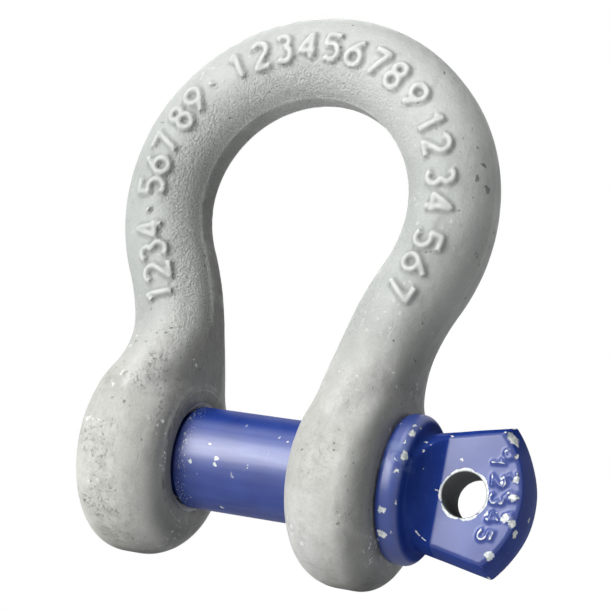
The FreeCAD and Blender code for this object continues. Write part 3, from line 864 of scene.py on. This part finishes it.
# %% [markdown]
# ## Floor, background and lights
#
# A pale floor carries the shackle and fades to white with distance, and a white world surrounds it. Only
# direct sight, mirrors and glass see that white; as light the world is much weaker, so that the lamps shape
# the object. A large soft lamp stands in front on the left, a little above the pin, where it puts the long
# pale band on the shank and the sheen on the lug. Two weaker ones light the top and the back.

# %% Lay the floor
FLOOR_HALF = 4


def direction(azimuth, elevation):
    """Azimuth 0 is the front, 90 the right; elevation is above the horizon; both in degrees."""
    a, e = math.radians(azimuth), math.radians(elevation)
    return Vector((math.sin(a) * math.cos(e), -math.cos(a) * math.cos(e), math.sin(e)))


def rays_that_see(tree):
    """1 for rays of direct sight, mirrors and glass, and 0 for those that only carry light."""
    rays = add(tree, "ShaderNodeLightPath").outputs
    return most(tree, rays["Is Camera Ray"], rays["Is Glossy Ray"], rays["Is Transmission Ray"])


corners = [(FLOOR_HALF * x, FLOOR_HALF * y, 0) for x, y in ((-1, -1), (1, -1), (1, 1), (-1, 1))]
floor = mesh_object("floor", corners, [(0, 1, 2, 3)])
floor.data.transform(Matrix.Translation((0, 0, cad_box[0].z - 0.0002)))
paper = bpy.data.materials.new("pale_floor")
paper.use_nodes = True
tree = paper.node_tree
matt = tree.nodes["Principled BSDF"]
matt.inputs["Base Color"].default_value = (0.86, 0.86, 0.86, 1)
matt.inputs["Roughness"].default_value = 0.9
matt.inputs["Specular IOR Level"].default_value = 0.1
far = vector(tree, "LENGTH", add(tree, "ShaderNodeTexCoord").outputs["Object"])
glowing = times(tree, fade(tree, far, 0.12, 0.75, 0.5, 1.0), rays_that_see(tree))
glow = add(tree, "ShaderNodeEmission", (1, 1, 1, 1), 1.0)
lit = add(tree, "ShaderNodeMixShader", glowing, matt.outputs[0], glow.outputs[0])
side, clear = add(tree, "ShaderNodeNewGeometry"), add(tree, "ShaderNodeBsdfTransparent")
mix = add(tree, "ShaderNodeMixShader", side.outputs["Backfacing"], lit.outputs[0], clear.outputs[0])
tree.links.new(mix.outputs[0], tree.nodes["Material Output"].inputs["Surface"])
floor.data.materials.append(paper)
print("floor at z", round(cad_box[0].z - 0.0002, 5), "m")

# %% Surround it with white
AMBIENT = 0.06

world = bpy.data.worlds.new("studio")
scene.world = world
world.use_nodes = True
tree = world.node_tree
tree.nodes.clear()
white = add(tree, "ShaderNodeBackground", (1, 1, 1, 1), 1.0)
light = add(tree, "ShaderNodeBackground", (0.95, 0.97, 1, 1), AMBIENT)
mix = add(tree, "ShaderNodeMixShader", rays_that_see(tree), light.outputs[0], white.outputs[0])
add(tree, "ShaderNodeOutputWorld", mix.outputs[0])
print("world: white to the eye, light of strength", AMBIENT)

# %% Hang the lamps
target = Vector((0.0042, 0, 0.0377))
LAMPS = [  # name, azimuth, elevation, distance, width, height (degrees and metres) and power in watts
    ("front_lamp", -30, 13, 1.1, 0.7, 0.9, 12.4),
    ("top_lamp", 0, 72, 1.6, 0.8, 0.8, 8.0),
    ("back_lamp", 215, 35, 1.6, 0.8, 0.8, 7.0),
]

for name, azimuth, elevation, distance, width, height, power in LAMPS:
    data = bpy.data.lights.new(name, "AREA")
    data.shape, data.size, data.size_y, data.energy = "ELLIPSE", width, height, power
    lamp = new_object(name, data)
    way = direction(azimuth, elevation)
    aim = way.to_track_quat("Z", "Y").to_matrix().to_4x4()
    lamp.matrix_world = Matrix.Translation(target + way * distance) @ aim
print("lamps:", [lamp[0] for lamp in LAMPS])

# %% Aim the camera
CAMERA_AZIMUTH, CAMERA_ELEVATION, CAMERA_ROLL = 24.5, -10.92, 11.41
CAMERA_DISTANCE, FOCAL_LENGTH, SENSOR_WIDTH = 0.4363, 114.14, 36

back = direction(CAMERA_AZIMUTH, CAMERA_ELEVATION)
right = Vector((math.cos(math.radians(CAMERA_AZIMUTH)), math.sin(math.radians(CAMERA_AZIMUTH)), 0))
up = back.cross(right)
roll = math.radians(CAMERA_ROLL)
right, up = right * math.cos(roll) + up * math.sin(roll), up * math.cos(roll) - right * math.sin(roll)
lens = bpy.data.cameras.new("camera")
lens.lens, lens.sensor_width = FOCAL_LENGTH, SENSOR_WIDTH
lens.clip_start, lens.clip_end = 0.01, 20
camera = new_object("camera", lens)
place = target + back * CAMERA_DISTANCE
camera.matrix_world = Matrix.Translation(place) @ Matrix((right, up, back)).transposed().to_4x4()
scene.camera = camera
scene.view_settings.view_transform = "Standard"
print("camera at", [round(v, 4) for v in place])

# %% [markdown]
# ## Effects that both coatings share
#
# Hot-dip zinc and the pin's blue coat look different, but both lie on the same rough forging and both suffer
# the same knocks. So each effect is one node group: the skin's grain, pocks in clusters, scratches, wear on
# edges and a slow change of tint. All read a place in millimetres and put out a mask or a height.

# %% Helpers for materials
def texture(tree, kind, place, output, **inputs):
    """A texture at a place, with its inputs set by name."""
    node = tree.nodes.new(kind)
    tree.links.new(place, node.inputs["Vector"])
    for name, value in inputs.items():
        feed(tree, value, node.inputs[name])
    return node.outputs[output]


def clouds(tree, place, scale, detail=2.0):
    """Soft noise from 0 to 1; the scale is in features per millimetre."""
    return texture(tree, "ShaderNodeTexNoise", place, "Fac", Scale=scale, Detail=detail)


def shaken(tree, place, reach, **inputs):
    """A place that is pushed about by soft noise, so that what is drawn round it gets a ragged outline."""
    shake = texture(tree, "ShaderNodeTexNoise", place, "Color", **inputs)
    return vector(tree, "ADD", place, scaled(tree, vector(tree, "SUBTRACT", shake, (0.5, 0.5, 0.5)), reach))


def moved_by(tree, place, offset):
    return vector(tree, "ADD", place, offset)


def stretched(tree, place, factors):
    return vector(tree, "MULTIPLY", place, factors)


def less(tree, first, second):
    return calc(tree, "SUBTRACT", first, second)


def size_of(tree, value):
    return calc(tree, "ABSOLUTE", value)


def distance(tree, place, point):
    return vector(tree, "LENGTH", vector(tree, "SUBTRACT", place, point))


def flat_distance(tree, across, up):
    """How far off the middle something lies, from its two distances at right angles."""
    return calc(tree, "SQRT", total(tree, calc(tree, "POWER", across, 2.0), calc(tree, "POWER", up, 2.0)))


def dotted(tree, mask, place, dots):
    """Adds round dots to a mask; each is a middle and a radius."""
    for middle, radius in dots:
        mask = most(tree, mask, fade(tree, distance(tree, place, middle), radius, radius * 0.7))
    return mask


def paint(tree, mask, under, over):
    """One colour over another where the mask is 1."""
    node = tree.nodes.new("ShaderNodeMix")
    node.data_type = "RGBA"
    feed(tree, mask, node.inputs[0])
    for value, socket in ((under, node.inputs[6]), (over, node.inputs[7])):
        feed(tree, (*value, 1) if isinstance(value, tuple) else value, socket)
    return node.outputs[2]


def coats(tree, colour, layers):
    """Paints layers one over the other; each is a mask, its strength and its colour."""
    for mask, strength, over in layers:
        colour = paint(tree, times(tree, mask, strength), colour, over)
    return colour


def effect(name, output, **inputs):
    """An empty node group: its tree, its inputs and its output. An input of None is a place."""
    group = bpy.data.node_groups.new(name, "ShaderNodeTree")
    for label, value in inputs.items():
        kind = "NodeSocketVector" if value is None else "NodeSocketFloat"
        socket = group.interface.new_socket(label.replace("_", " "), in_out="INPUT", socket_type=kind)
        if value is not None:
            socket.default_value = value
    group.interface.new_socket(output, in_out="OUTPUT", socket_type="NodeSocketFloat")
    return group, group.nodes.new("NodeGroupInput").outputs, group.nodes.new("NodeGroupOutput").inputs[0]


def use(tree, group, **inputs):
    """Puts an effect into a material and returns its output."""
    node = tree.nodes.new("ShaderNodeGroup")
    node.node_tree = group
    for label, value in inputs.items():
        feed(tree, value, node.inputs[label.replace("_", " ")])
    return node.outputs[0]


# %% The forging's skin and its tint
skin, given, made = effect(
    "forged_skin", "Height", Place=None, Grain=2.0, Grain_depth=0.02, Wave=0.3, Wave_depth=0.04
)
grain = clouds(skin, given["Place"], given["Grain"], 3.0)
wave = clouds(skin, given["Place"], given["Wave"], 1.0)
grain = times(skin, less(skin, grain, 0.5), given["Grain depth"])
wave = times(skin, less(skin, wave, 0.5), given["Wave depth"])
feed(skin, total(skin, grain, wave), made)

tint, given, made = effect("slow_tint", "Mask", Place=None, Scale=0.08, Contrast=4.0)
patchy = clouds(tint, given["Place"], given["Scale"], 4.0)
patchy = total(tint, times(tint, less(tint, patchy, 0.5), given["Contrast"]), 0.5)
feed(tint, most(tint, calc(tint, "MINIMUM", patchy, 1.0), 0.0), made)

# %% Pocks that come in clusters
pocks, given, made = effect("pocks", "Mask", Place=None, Density=0.4, Size=0.3, Cluster=0.1, Cluster_share=0.5)
bent = shaken(pocks, given["Place"], 1.6, Scale=1.3)
away = texture(pocks, "ShaderNodeTexVoronoi", bent, "Distance", Scale=given["Density"])
chance = texture(pocks, "ShaderNodeTexVoronoi", bent, "Color", Scale=given["Density"])
reach = times(pocks, add(pocks, "ShaderNodeSeparateColor", chance).outputs[0], given["Size"])
spot = fade(pocks, away, reach, times(pocks, reach, 0.6))
bound = less(pocks, 1.0, given["Cluster share"])
gate = fade(pocks, clouds(pocks, given["Place"], given["Cluster"], 2.0), less(pocks, bound, 0.06), bound)
feed(pocks, times(pocks, spot, gate), made)

# %% Scratches and worn edges
scratches, given, made = effect("scratches", "Mask", Place=None, Scale=0.5, Width=0.02, Share=0.5)
line = clouds(scratches, given["Place"], given["Scale"], 0.0)
line = fade(scratches, size_of(scratches, less(scratches, line, 0.5)), given["Width"], 0.0)
bound = less(scratches, 1.0, given["Share"])
elsewhere = moved_by(scratches, given["Place"], (40, 0, 0))
gate = clouds(scratches, elsewhere, times(scratches, given["Scale"], 1.7))
gate = fade(scratches, gate, bound, total(scratches, bound, 0.04))
feed(scratches, times(scratches, line, gate), made)

wear, given, made = effect("worn_edges", "Mask", Place=None, Edge=0.0, Grain=0.5, Reach=0.6)
rough = clouds(wear, given["Place"], given["Grain"], 3.0)
level = total(wear, times(wear, given["Edge"], given["Reach"]), rough)
feed(wear, fade(wear, level, 0.86, 0.93), made)
print("effects:", [g.name for g in (skin, tint, pocks, scratches, wear)])

# %% Start a material
def start_material(name):
    """A material with its shader, and the piece's own place in millimetres."""
    material = bpy.data.materials.new(name)
    material.use_nodes = True
    tree = material.node_tree
    place = scaled(tree, tree.nodes.new("ShaderNodeTexCoord").outputs["Object"], 1000.0)
    return material, tree, tree.nodes["Principled BSDF"], place


def marked(tree, name):
    """A mark that the mesh carries on its points."""
    node = tree.nodes.new("ShaderNodeAttribute")
    node.attribute_name = name
    return node.outputs["Fac"]


def relief(tree, shader, height):
    """Heights in millimetres, as a bump."""
    bump = tree.nodes.new("ShaderNodeBump")
    bump.inputs["Distance"].default_value = 0.001
    tree.links.new(height, bump.inputs["Height"])
    tree.links.new(bump.outputs[0], shader.inputs["Normal"])


# %% [markdown]
# ## Galvanised zinc
#
# Hot-dip zinc is a dull, faintly green grey with a fine orange-peel grain. Round the eyes it is pocked and
# stained, with small bright flecks. Inside the jaw the milled rings show turning marks. The zinc is all but
# diffuse, for a mirror part would look like polished steel. A bench lit by a broad window also shades a bow
# from place to place, which a few lamps can't do, so part of that light and shade is painted into the coat:
# paler on the crown, the necks and the low parts, warmer low down, darker outside left, at the collar, in the
# jaw, on the trimmed band, in hollows and on the milled rings. All of it is a list of layers, each with a mask,
# a strength and a colour.

# %% Say where things are on the bow
zinc, tree, shader, place = start_material("galvanised_zinc")
x, y, z = add(tree, "ShaderNodeSeparateXYZ", place).outputs
from_axis = flat_distance(tree, y, z)
raised, painted_hollow_shade, inward = marked(tree, "edge"), marked(tree, "hollow"), marked(tree, "inward")
across = size_of(tree, x)
far_side = calc(tree, "LESS_THAN", x, 0.0)
near_side = less(tree, 1.0, far_side)
on_bar = fade(tree, z, 16.0, 34.0)
on_eyes = fade(tree, z, 40.0, 18.0, 0.35, 1.0)
flank = times(tree, fade(tree, inward, 0.0, 0.7), fade(tree, x, 34.0, -8.0, 0.3, 1.0), on_bar)
ragged = times(tree, clouds(tree, place, 0.7, 4.0), 0.05)
# The trimmed band inside the bow, where shade is painted.
trim_band_shade = times(tree, fade(tree, total(tree, inward, ragged), 0.975, 0.99), on_bar)
milled = fade(tree, across, INNER_FACE + 0.22, INNER_FACE + 0.15)
milled = times(tree, milled, fade(tree, from_axis, SPOT_RADIUS - 0.2, SPOT_RADIUS - 0.4))
print("bow: places read from", ("position", "edge", "hollow", "inward"))

# %% Mark what the zinc went through, and the painted shade on the inner flank and at a milled ring's edge
gathered = times(tree, use(tree, tint, Place=place, Scale=0.1, Contrast=6.0), on_eyes)
gathered = times(tree, gathered, fade(tree, x, 0.0, 16.0, 1.0, 0.72))
smudges = times(tree, use(tree, tint, Place=place, Scale=0.45, Contrast=5.0), gathered)
pits = use(tree, wear, Place=moved_by(tree, place, (9, 4, 2)), Edge=gathered, Grain=1.1, Reach=0.28)
cracks = times(tree, use(tree, scratches, Place=place, Scale=0.7, Width=0.016, Share=0.5), gathered)
knocked = use(tree, tint, Place=moved_by(tree, place, (2, 30, 6)), Scale=0.09, Contrast=9.0)
nicks = use(tree, wear, Place=moved_by(tree, place, (1, 7, 4)), Edge=knocked, Grain=0.75, Reach=0.2)
ragged_place = shaken(tree, place, 3.0, Scale=0.8, Detail=3.0)
OUTER_NICKS = [((42.0, -6.9, 68.2), 0.8), ((42.0, -5.7, 72.2), 0.7), ((43.8, -4.6, 66.8), 0.9)]
nicks = dotted(tree, nicks, ragged_place, OUTER_NICKS)
flecks = use(
    tree, pocks, Place=moved_by(tree, place, (17, 5, 9)), Density=0.75, Size=0.5, Cluster=0.12,
    Cluster_share=0.36
)
flecks = times(tree, flecks, on_eyes)
drawn = stretched(tree, place, (1.0, 1.0, 0.12))
scored = use(tree, scratches, Place=drawn, Scale=0.45, Width=0.012, Share=0.46)
# A sandy speckle everywhere, stronger on the inner flank, where its darkening is also painted shade.
sandy_speckle_and_flank_shade = use(tree, tint, Place=place, Scale=2.0, Contrast=5.0)
sandy_speckle_and_flank_shade = times(tree, sandy_speckle_and_flank_shade, total(tree, times(tree, flank, 0.22), 0.1))
# A broken dark line at the far milled ring's edge, at its front: painted shade in the crease.
crease = fade(tree, size_of(tree, less(tree, from_axis, SPOT_RADIUS + 0.1)), 0.7, 0.15)
crease = times(tree, crease, far_side, fade(tree, across, INNER_FACE + 2.0, INNER_FACE + 1.2))
crease = times(tree, crease, fade(tree, clouds(tree, place, 0.35, 4.0), 0.42, 0.56))
crease = times(tree, crease, fade(tree, y, -9.0, -12.0), fade(tree, z, 10.0, 7.0))

# %% Mark where light and shade are painted on the bow
low_part = times(tree, fade(tree, z, 12.0, -16.0), fade(tree, x, -14.0, 14.0, 0.8, 0.4))
outer_left = times(tree, fade(tree, inward, 0.3, -0.35), fade(tree, x, 4.0, -20.0), on_bar)
crown_top = times(tree, fade(tree, x, -30.0, 20.0, 0.28, 0.5), fade(tree, z, 72.0, 86.0))
outer_right = times(tree, fade(tree, x, 29.0, 37.0), fade(tree, z, 64.0, 44.0), fade(tree, z, -20.0, -5.0))
crown_flank = times(tree, flank, fade(tree, z, 62.0, 80.0))
by_collar = times(tree, fade(tree, x, 29.0, 34.0), fade(tree, z, -22.0, -8.0))
by_foot = times(tree, fade(tree, x, 28.0, 33.0), fade(tree, z, -8.0, -15.0))
painted_collar_shade = times(tree, most(tree, by_collar, by_foot), fade(tree, z, 42.0, 20.0))
near_front = times(tree, fade(tree, x, 21.0, 26.0), fade(tree, x, 34.0, 31.0))
far_front = times(tree, fade(tree, x, -29.0, -23.0), fade(tree, x, -16.0, -20.0))
shoulder = times(tree, fade(tree, z, 6.0, 14.0), fade(tree, z, 33.0, 21.0), most(tree, near_front, far_front))
cheek = times(tree, fade(tree, x, 29.0, 24.0), fade(tree, z, -3.0, -13.0), near_side)
in_jaw = times(tree, fade(tree, inward, 0.7, 0.97), far_side, fade(tree, z, 78.0, 30.0))
heel = times(tree, fade(tree, x, -19.0, -15.0), far_side, fade(tree, z, -7.0, -17.0))
rubbed_crests_and_hole_shade = times(tree, in_jaw, fade(tree, from_axis, 16.0, 12.6))
left_limb = times(tree, fade(tree, x, -8.0, -34.0), fade(tree, z, 26.0, 50.0))

# %% Galvanise the bow
cloudy = use(tree, tint, Place=place, Scale=0.09, Contrast=3.0)
cool = paint(tree, cloudy, (0.49, 0.515, 0.495), (0.57, 0.595, 0.57))
warm = paint(tree, cloudy, (0.50, 0.50, 0.465), (0.59, 0.59, 0.555))
zinc_layers = [  # where, how strongly and what colour, from the lowest layer to the highest
    # painted light from below: paler low parts, more on the far side
    (low_part, 1.0, (0.7, 0.695, 0.65)),
    # painted shade: darker on the outer side of the left leg
    (outer_left, fade(tree, z, 36.0, 44.0, 0.55, 0.3), (0.38, 0.405, 0.39)),
    # painted light: paler on top of the crown, more towards the right
    (crown_top, 1.0, (0.76, 0.775, 0.75)),
    # painted shade: darker on the right leg's outer side
    (outer_right, 0.45, (0.32, 0.33, 0.31)),
    # painted light: paler on the inner flank of the crown
    (crown_flank, 0.8, (0.72, 0.735, 0.71)),
    # painted shade beside the collar and at the near eye's foot
    (painted_collar_shade, 0.8, (0.26, 0.27, 0.25)),
    # painted light: paler on the eyes' upper shoulders and the near eye's cheek
    (most(tree, shoulder, cheek), 0.6, (0.78, 0.785, 0.755)),
    # painted shade inside the jaw, on the far leg
    (in_jaw, 0.75, (0.2, 0.205, 0.19)),
    # painted shade low on the far eye's jaw side
    (heel, 0.7, (0.14, 0.145, 0.135)),
    # painted shade round the hole on the far eye's jaw side
    (rubbed_crests_and_hole_shade, 0.6, (0.12, 0.12, 0.115)),
    # painted shade on the left leg's inner flank
    (times(tree, flank, left_limb), 0.1, (0.38, 0.39, 0.37)),
    # painted shade on the trimmed band inside the bow, weaker on the crown
    (trim_band_shade, fade(tree, z, 74.0, 92.0, 0.65, 0.08), (0.19, 0.195, 0.185)),
    # sandy speckle, partly painted shade on the inner flank
    (sandy_speckle_and_flank_shade, 1.0, (0.2, 0.205, 0.195)),
    (smudges, 0.32, (0.27, 0.27, 0.245)),
    # painted shade in the crease at the far milled ring's edge
    (crease, 0.75, (0.12, 0.12, 0.115)),
    (pits, 0.5, (0.2, 0.195, 0.18)),
    (cracks, 0.5, (0.16, 0.155, 0.145)),
    (nicks, 0.75, (0.12, 0.12, 0.12)),
    (scored, 0.35, (0.75, 0.76, 0.74)),
    (flecks, 0.8, (0.88, 0.9, 0.86)),
    # painted shade in hollows
    (painted_hollow_shade, 0.65, (0.24, 0.25, 0.24)),
    # lighter on edges and figure tops: partly worn zinc, partly painted highlight; weaker on the left leg
    (raised, fade(tree, left_limb, 0.0, 1.0, 0.6, 0.35), (0.86, 0.88, 0.85)),
    # painted shade on the milled rings inside the jaw
    (milled, 0.8, (0.14, 0.136, 0.12)),
]
# The base grey turns warmer towards the bottom: a painted warm reflection from below.
colour = coats(tree, paint(tree, fade(tree, z, 45.0, 10.0), cool, warm), zinc_layers)
feed(tree, colour, shader.inputs["Base Color"])

grain_depth = total(tree, times(tree, flank, 0.6), 0.09)
height = use(tree, skin, Place=place, Grain=2.0, Grain_depth=grain_depth, Wave=0.35, Wave_depth=0.25)
turning = times(tree, calc(tree, "SINE", times(tree, from_axis, 14.0)), times(tree, milled, 0.01))
dents = times(tree, total(tree, pits, cracks, smudges), -0.08)
knocks = times(tree, total(tree, nicks, times(tree, scored, 0.3)), -0.15)
relief(tree, shader, total(tree, height, turning, dents, knocks))
dull = total(tree, fade(tree, clouds(tree, place, 0.4), 0.3, 0.7, 0.46, 0.6), times(tree, raised, -0.12))
feed(tree, dull, shader.inputs["Roughness"])
shader.inputs["Specular IOR Level"].default_value = 0.3
print("galvanised_zinc:", len(tree.nodes), "nodes,", len(zinc_layers), "layers")

# %% [markdown]
# ## The blue coat
#
# The pin is dipped in a thick royal blue coat with a broad sheen. It is knocked off the corners of the lug,
# the collar's rim and the raised figures, down to pale zinc. The lug's hole is bare, and the thread's crests
# are rubbed. Masks say where each of these shows. The coat's sheen is a clear layer over the blue, and one
# more mask says how much of it each place has: much on the shank, less on its upper side and on the lug's
# edges, hardly any in the ramps and none in the drilled hole.

# %% Say where things are on the pin
blue, tree, shader, place = start_material("blue_coat")
x, y, z = add(tree, "ShaderNodeSeparateXYZ", place).outputs
from_axis = flat_distance(tree, y, z)
edge = marked(tree, "edge")
to_left = less(tree, HOLE_MIDDLE, x)
to_hole = flat_distance(tree, to_left, z)
bored = fade(tree, to_hole, LUG_HOLE_RADIUS + 0.12, LUG_HOLE_RADIUS + 0.04)
bored = times(tree, bored, calc(tree, "GREATER_THAN", x, HOLE_MIDDLE - LUG_HOLE_RADIUS - 0.2))
chamfered = fade(tree, to_hole, LUG_HOLE_RADIUS + 0.75, LUG_HOLE_RADIUS + 0.3)
chamfered = times(tree, chamfered, less(tree, 1.0, bored), fade(tree, to_left, 1.0, 4.0, 0.35, 1.0))
on_thread = fade(tree, x, SHOULDER + 0.1, SHOULDER - 0.1)
# the thread's crests, rubbed down to bare steel
rubbed_crests_and_hole_shade = times(tree, on_thread, fade(tree, from_axis, 10.2, 10.7))
by_far_eye = fade(tree, x, -INNER_FACE + 7, -INNER_FACE + 1)
by_far_eye = times(tree, by_far_eye, fade(tree, x, SHOULDER, SHOULDER + 1))
in_hollow = fade(tree, x, collar_high.x - 0.9, collar_high.x - 0.2)
in_hollow = times(tree, in_hollow, fade(tree, x, RAMP_END + 0.3, RAMP_END - 0.1))

# %% Knock the coat off
LUG_KNOCKS = [  # where the coat was knocked off, and how far round
    ((59.5, -4.5, 13.2), 1.9), ((61.3, -5.6, 9.8), 0.6), ((62.2, -6.0, 4.6), 0.9), ((62.0, -6.2, 0.9), 1.0),
    ((61.3, -6.0, -3.5), 1.0), ((62.5, -5.6, -4.4), 0.9), ((59.2, -6.2, 3.7), 0.6), ((63.3, -4.1, -6.4), 0.9),
    ((64.5, -0.4, -2.6), 0.7), ((59.2, -5.9, -11.8), 1.1), ((57.0, -6.0, -3.4), 0.5),
]
COLLAR_KNOCKS = [
    ((39.6, -11.8, 10.5), 1.0), ((40.0, -14.4, 5.2), 1.1), ((37.5, -14.9, -6.8), 0.9),
    ((37.0, -11.7, -11.4), 1.1), ((40.0, -14.6, -4.7), 0.5), ((41.9, -8.0, 9.4), 0.45),
    ((42.0, -9.4, 7.3), 0.4), ((39.2, -10.2, 12.3), 0.45), ((39.1, -14.0, 8.0), 0.45),
]
SHANK_KNOCKS = [((-6.7, -11.4, 1.5), 0.5), ((-4.1, -11.3, -1.0), 0.65), ((-4.5, -11.3, -2.2), 0.6)]
KNOCKS = LUG_KNOCKS + COLLAR_KNOCKS + SHANK_KNOCKS
RUB = (38.5, -15.0, 4.5)

ragged_place = shaken(tree, place, 2.2, Scale=0.8, Detail=3.0)
chips = use(tree, wear, Place=place, Edge=edge, Grain=0.38, Reach=0.5)
chips = dotted(tree, chips, ragged_place, KNOCKS)
rim_chips = use(tree, wear, Place=moved_by(tree, place, (3, 8, 1)), Edge=chamfered, Grain=0.3, Reach=0.42)
specks = use(tree, pocks, Place=place, Density=0.3, Size=0.2, Cluster=0.07, Cluster_share=0.47)
drawn = stretched(tree, place, (1.8, 1.0, 0.7))
scuffs = use(tree, wear, Place=drawn, Edge=by_far_eye, Grain=1.9, Reach=0.29)
chips = most(tree, chips, rim_chips, specks, times(tree, scuffs, 0.6))
drawn = stretched(tree, place, (1.0, 0.18, 0.18))
scored = use(tree, scratches, Place=drawn, Scale=0.6, Width=0.008, Share=0.45)
rub = fade(tree, distance(tree, ragged_place, RUB), 6.0, 2.0)
rub = times(tree, rub, use(tree, tint, Place=place, Scale=0.5, Contrast=6.0))
print("blue coat:", len(KNOCKS), "knocks placed")

# %% Coat the pin
coat = use(tree, tint, Place=place, Scale=0.12, Contrast=3.0)
coat = paint(tree, coat, (0.013, 0.038, 0.235), (0.022, 0.058, 0.31))
bare_zinc = fade(tree, clouds(tree, place, 1.1, 3.0), 0.42, 0.62)
bare_zinc = paint(tree, bare_zinc, (0.62, 0.68, 0.68), (0.97, 0.98, 0.95))
blue_layers = [
    (scored, 0.4, (0.12, 0.16, 0.38)),
    (rub, 0.6, (0.12, 0.19, 0.4)),
    (chips, 1.0, bare_zinc),
    (most(tree, bored, rubbed_crests_and_hole_shade), 1.0, (0.2, 0.212, 0.214)),
]
feed(tree, coats(tree, coat, blue_layers), shader.inputs["Base Color"])

on_lug = fade(tree, x, RAMP_END - 1.0, RAMP_END + 1.5, 0.25, 1.0)
height = use(tree, skin, Place=place, Grain=1.6, Grain_depth=0.012, Wave=0.55, Wave_depth=0.0)
wrinkles = use(tree, skin, Place=place, Grain=0.5, Grain_depth=0.09, Wave=0.25, Wave_depth=0.12)
lost = times(tree, chips, -0.06)
relief(tree, shader, total(tree, height, times(tree, wrinkles, on_lug), lost, times(tree, scored, -0.01)))
rough = fade(tree, clouds(tree, place, 0.5, 3.0), 0.3, 0.7, 0.3, 0.42)
feed(tree, total(tree, rough, times(tree, chips, 0.15)), shader.inputs["Roughness"])
feed(tree, times(tree, rubbed_crests_and_hole_shade, 0.7), shader.inputs["Metallic"])

# %% Give each place its sheen
COLLAR_SHEEN = 0.75
FLAT_SHEEN, EDGE_SHEEN = 0.7, 0.2

streaks = fade(tree, clouds(tree, stretched(tree, place, (0.07, 1.0, 1.0)), 0.7, 4.0), 0.35, 0.65, 0.82, 1.0)
on_shank = times(tree, streaks, fade(tree, z, 8.8, 5.5, 0.12, 1.0), fade(tree, z, -1.0, -8.0, 1.0, 0.62))
on_lug = most(
    tree, times(tree, fade(tree, size_of(tree, y), LUG_HALF - 0.7, LUG_HALF - 0.2), FLAT_SHEEN),
    times(tree, fade(tree, z, -6.0, -12.0), EDGE_SHEEN),
    times(tree, fade(tree, x, LUG_CORNER, LUG_CORNER + 4), EDGE_SHEEN)
)
sheen = fade(tree, x, collar_low.x - 1.5, collar_low.x, on_shank, COLLAR_SHEEN)
sheen = fade(tree, x, RAMP_END - 1.0, RAMP_END, sheen, on_lug)
without = most(tree, times(tree, in_hollow, 0.92), bored)
feed(tree, times(tree, sheen, less(tree, 1.0, without)), shader.inputs["Coat Weight"])
shader.inputs["Coat Roughness"].default_value = 0.4
shader.inputs["Coat IOR"].default_value = 2.0
shader.inputs["Specular IOR Level"].default_value = 0.0
print("blue_coat:", len(tree.nodes), "nodes,", len(blue_layers), "layers")

# %% Dress both pieces
for piece, material in ((bow, zinc), (pin, blue)):
    piece.data.materials.clear()
    piece.data.materials.append(material)
print("dressed:", [(p.name, p.data.materials[0].name) for p in (bow, pin)])

# %% [markdown]
# ## Bodies
#
# Each piece rides on the body that carries its solids, so that it moves as they do: the bow stays, and the
# whole pin turns and travels.

# %% Hang the pieces on their bodies
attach(bow, "forged_bow")
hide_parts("bow")
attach(pin, "pin_turner")
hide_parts("screw_pin", "pin_collar")

print("CAD box", [[round(c, 5) for c in v] for v in cad_box])
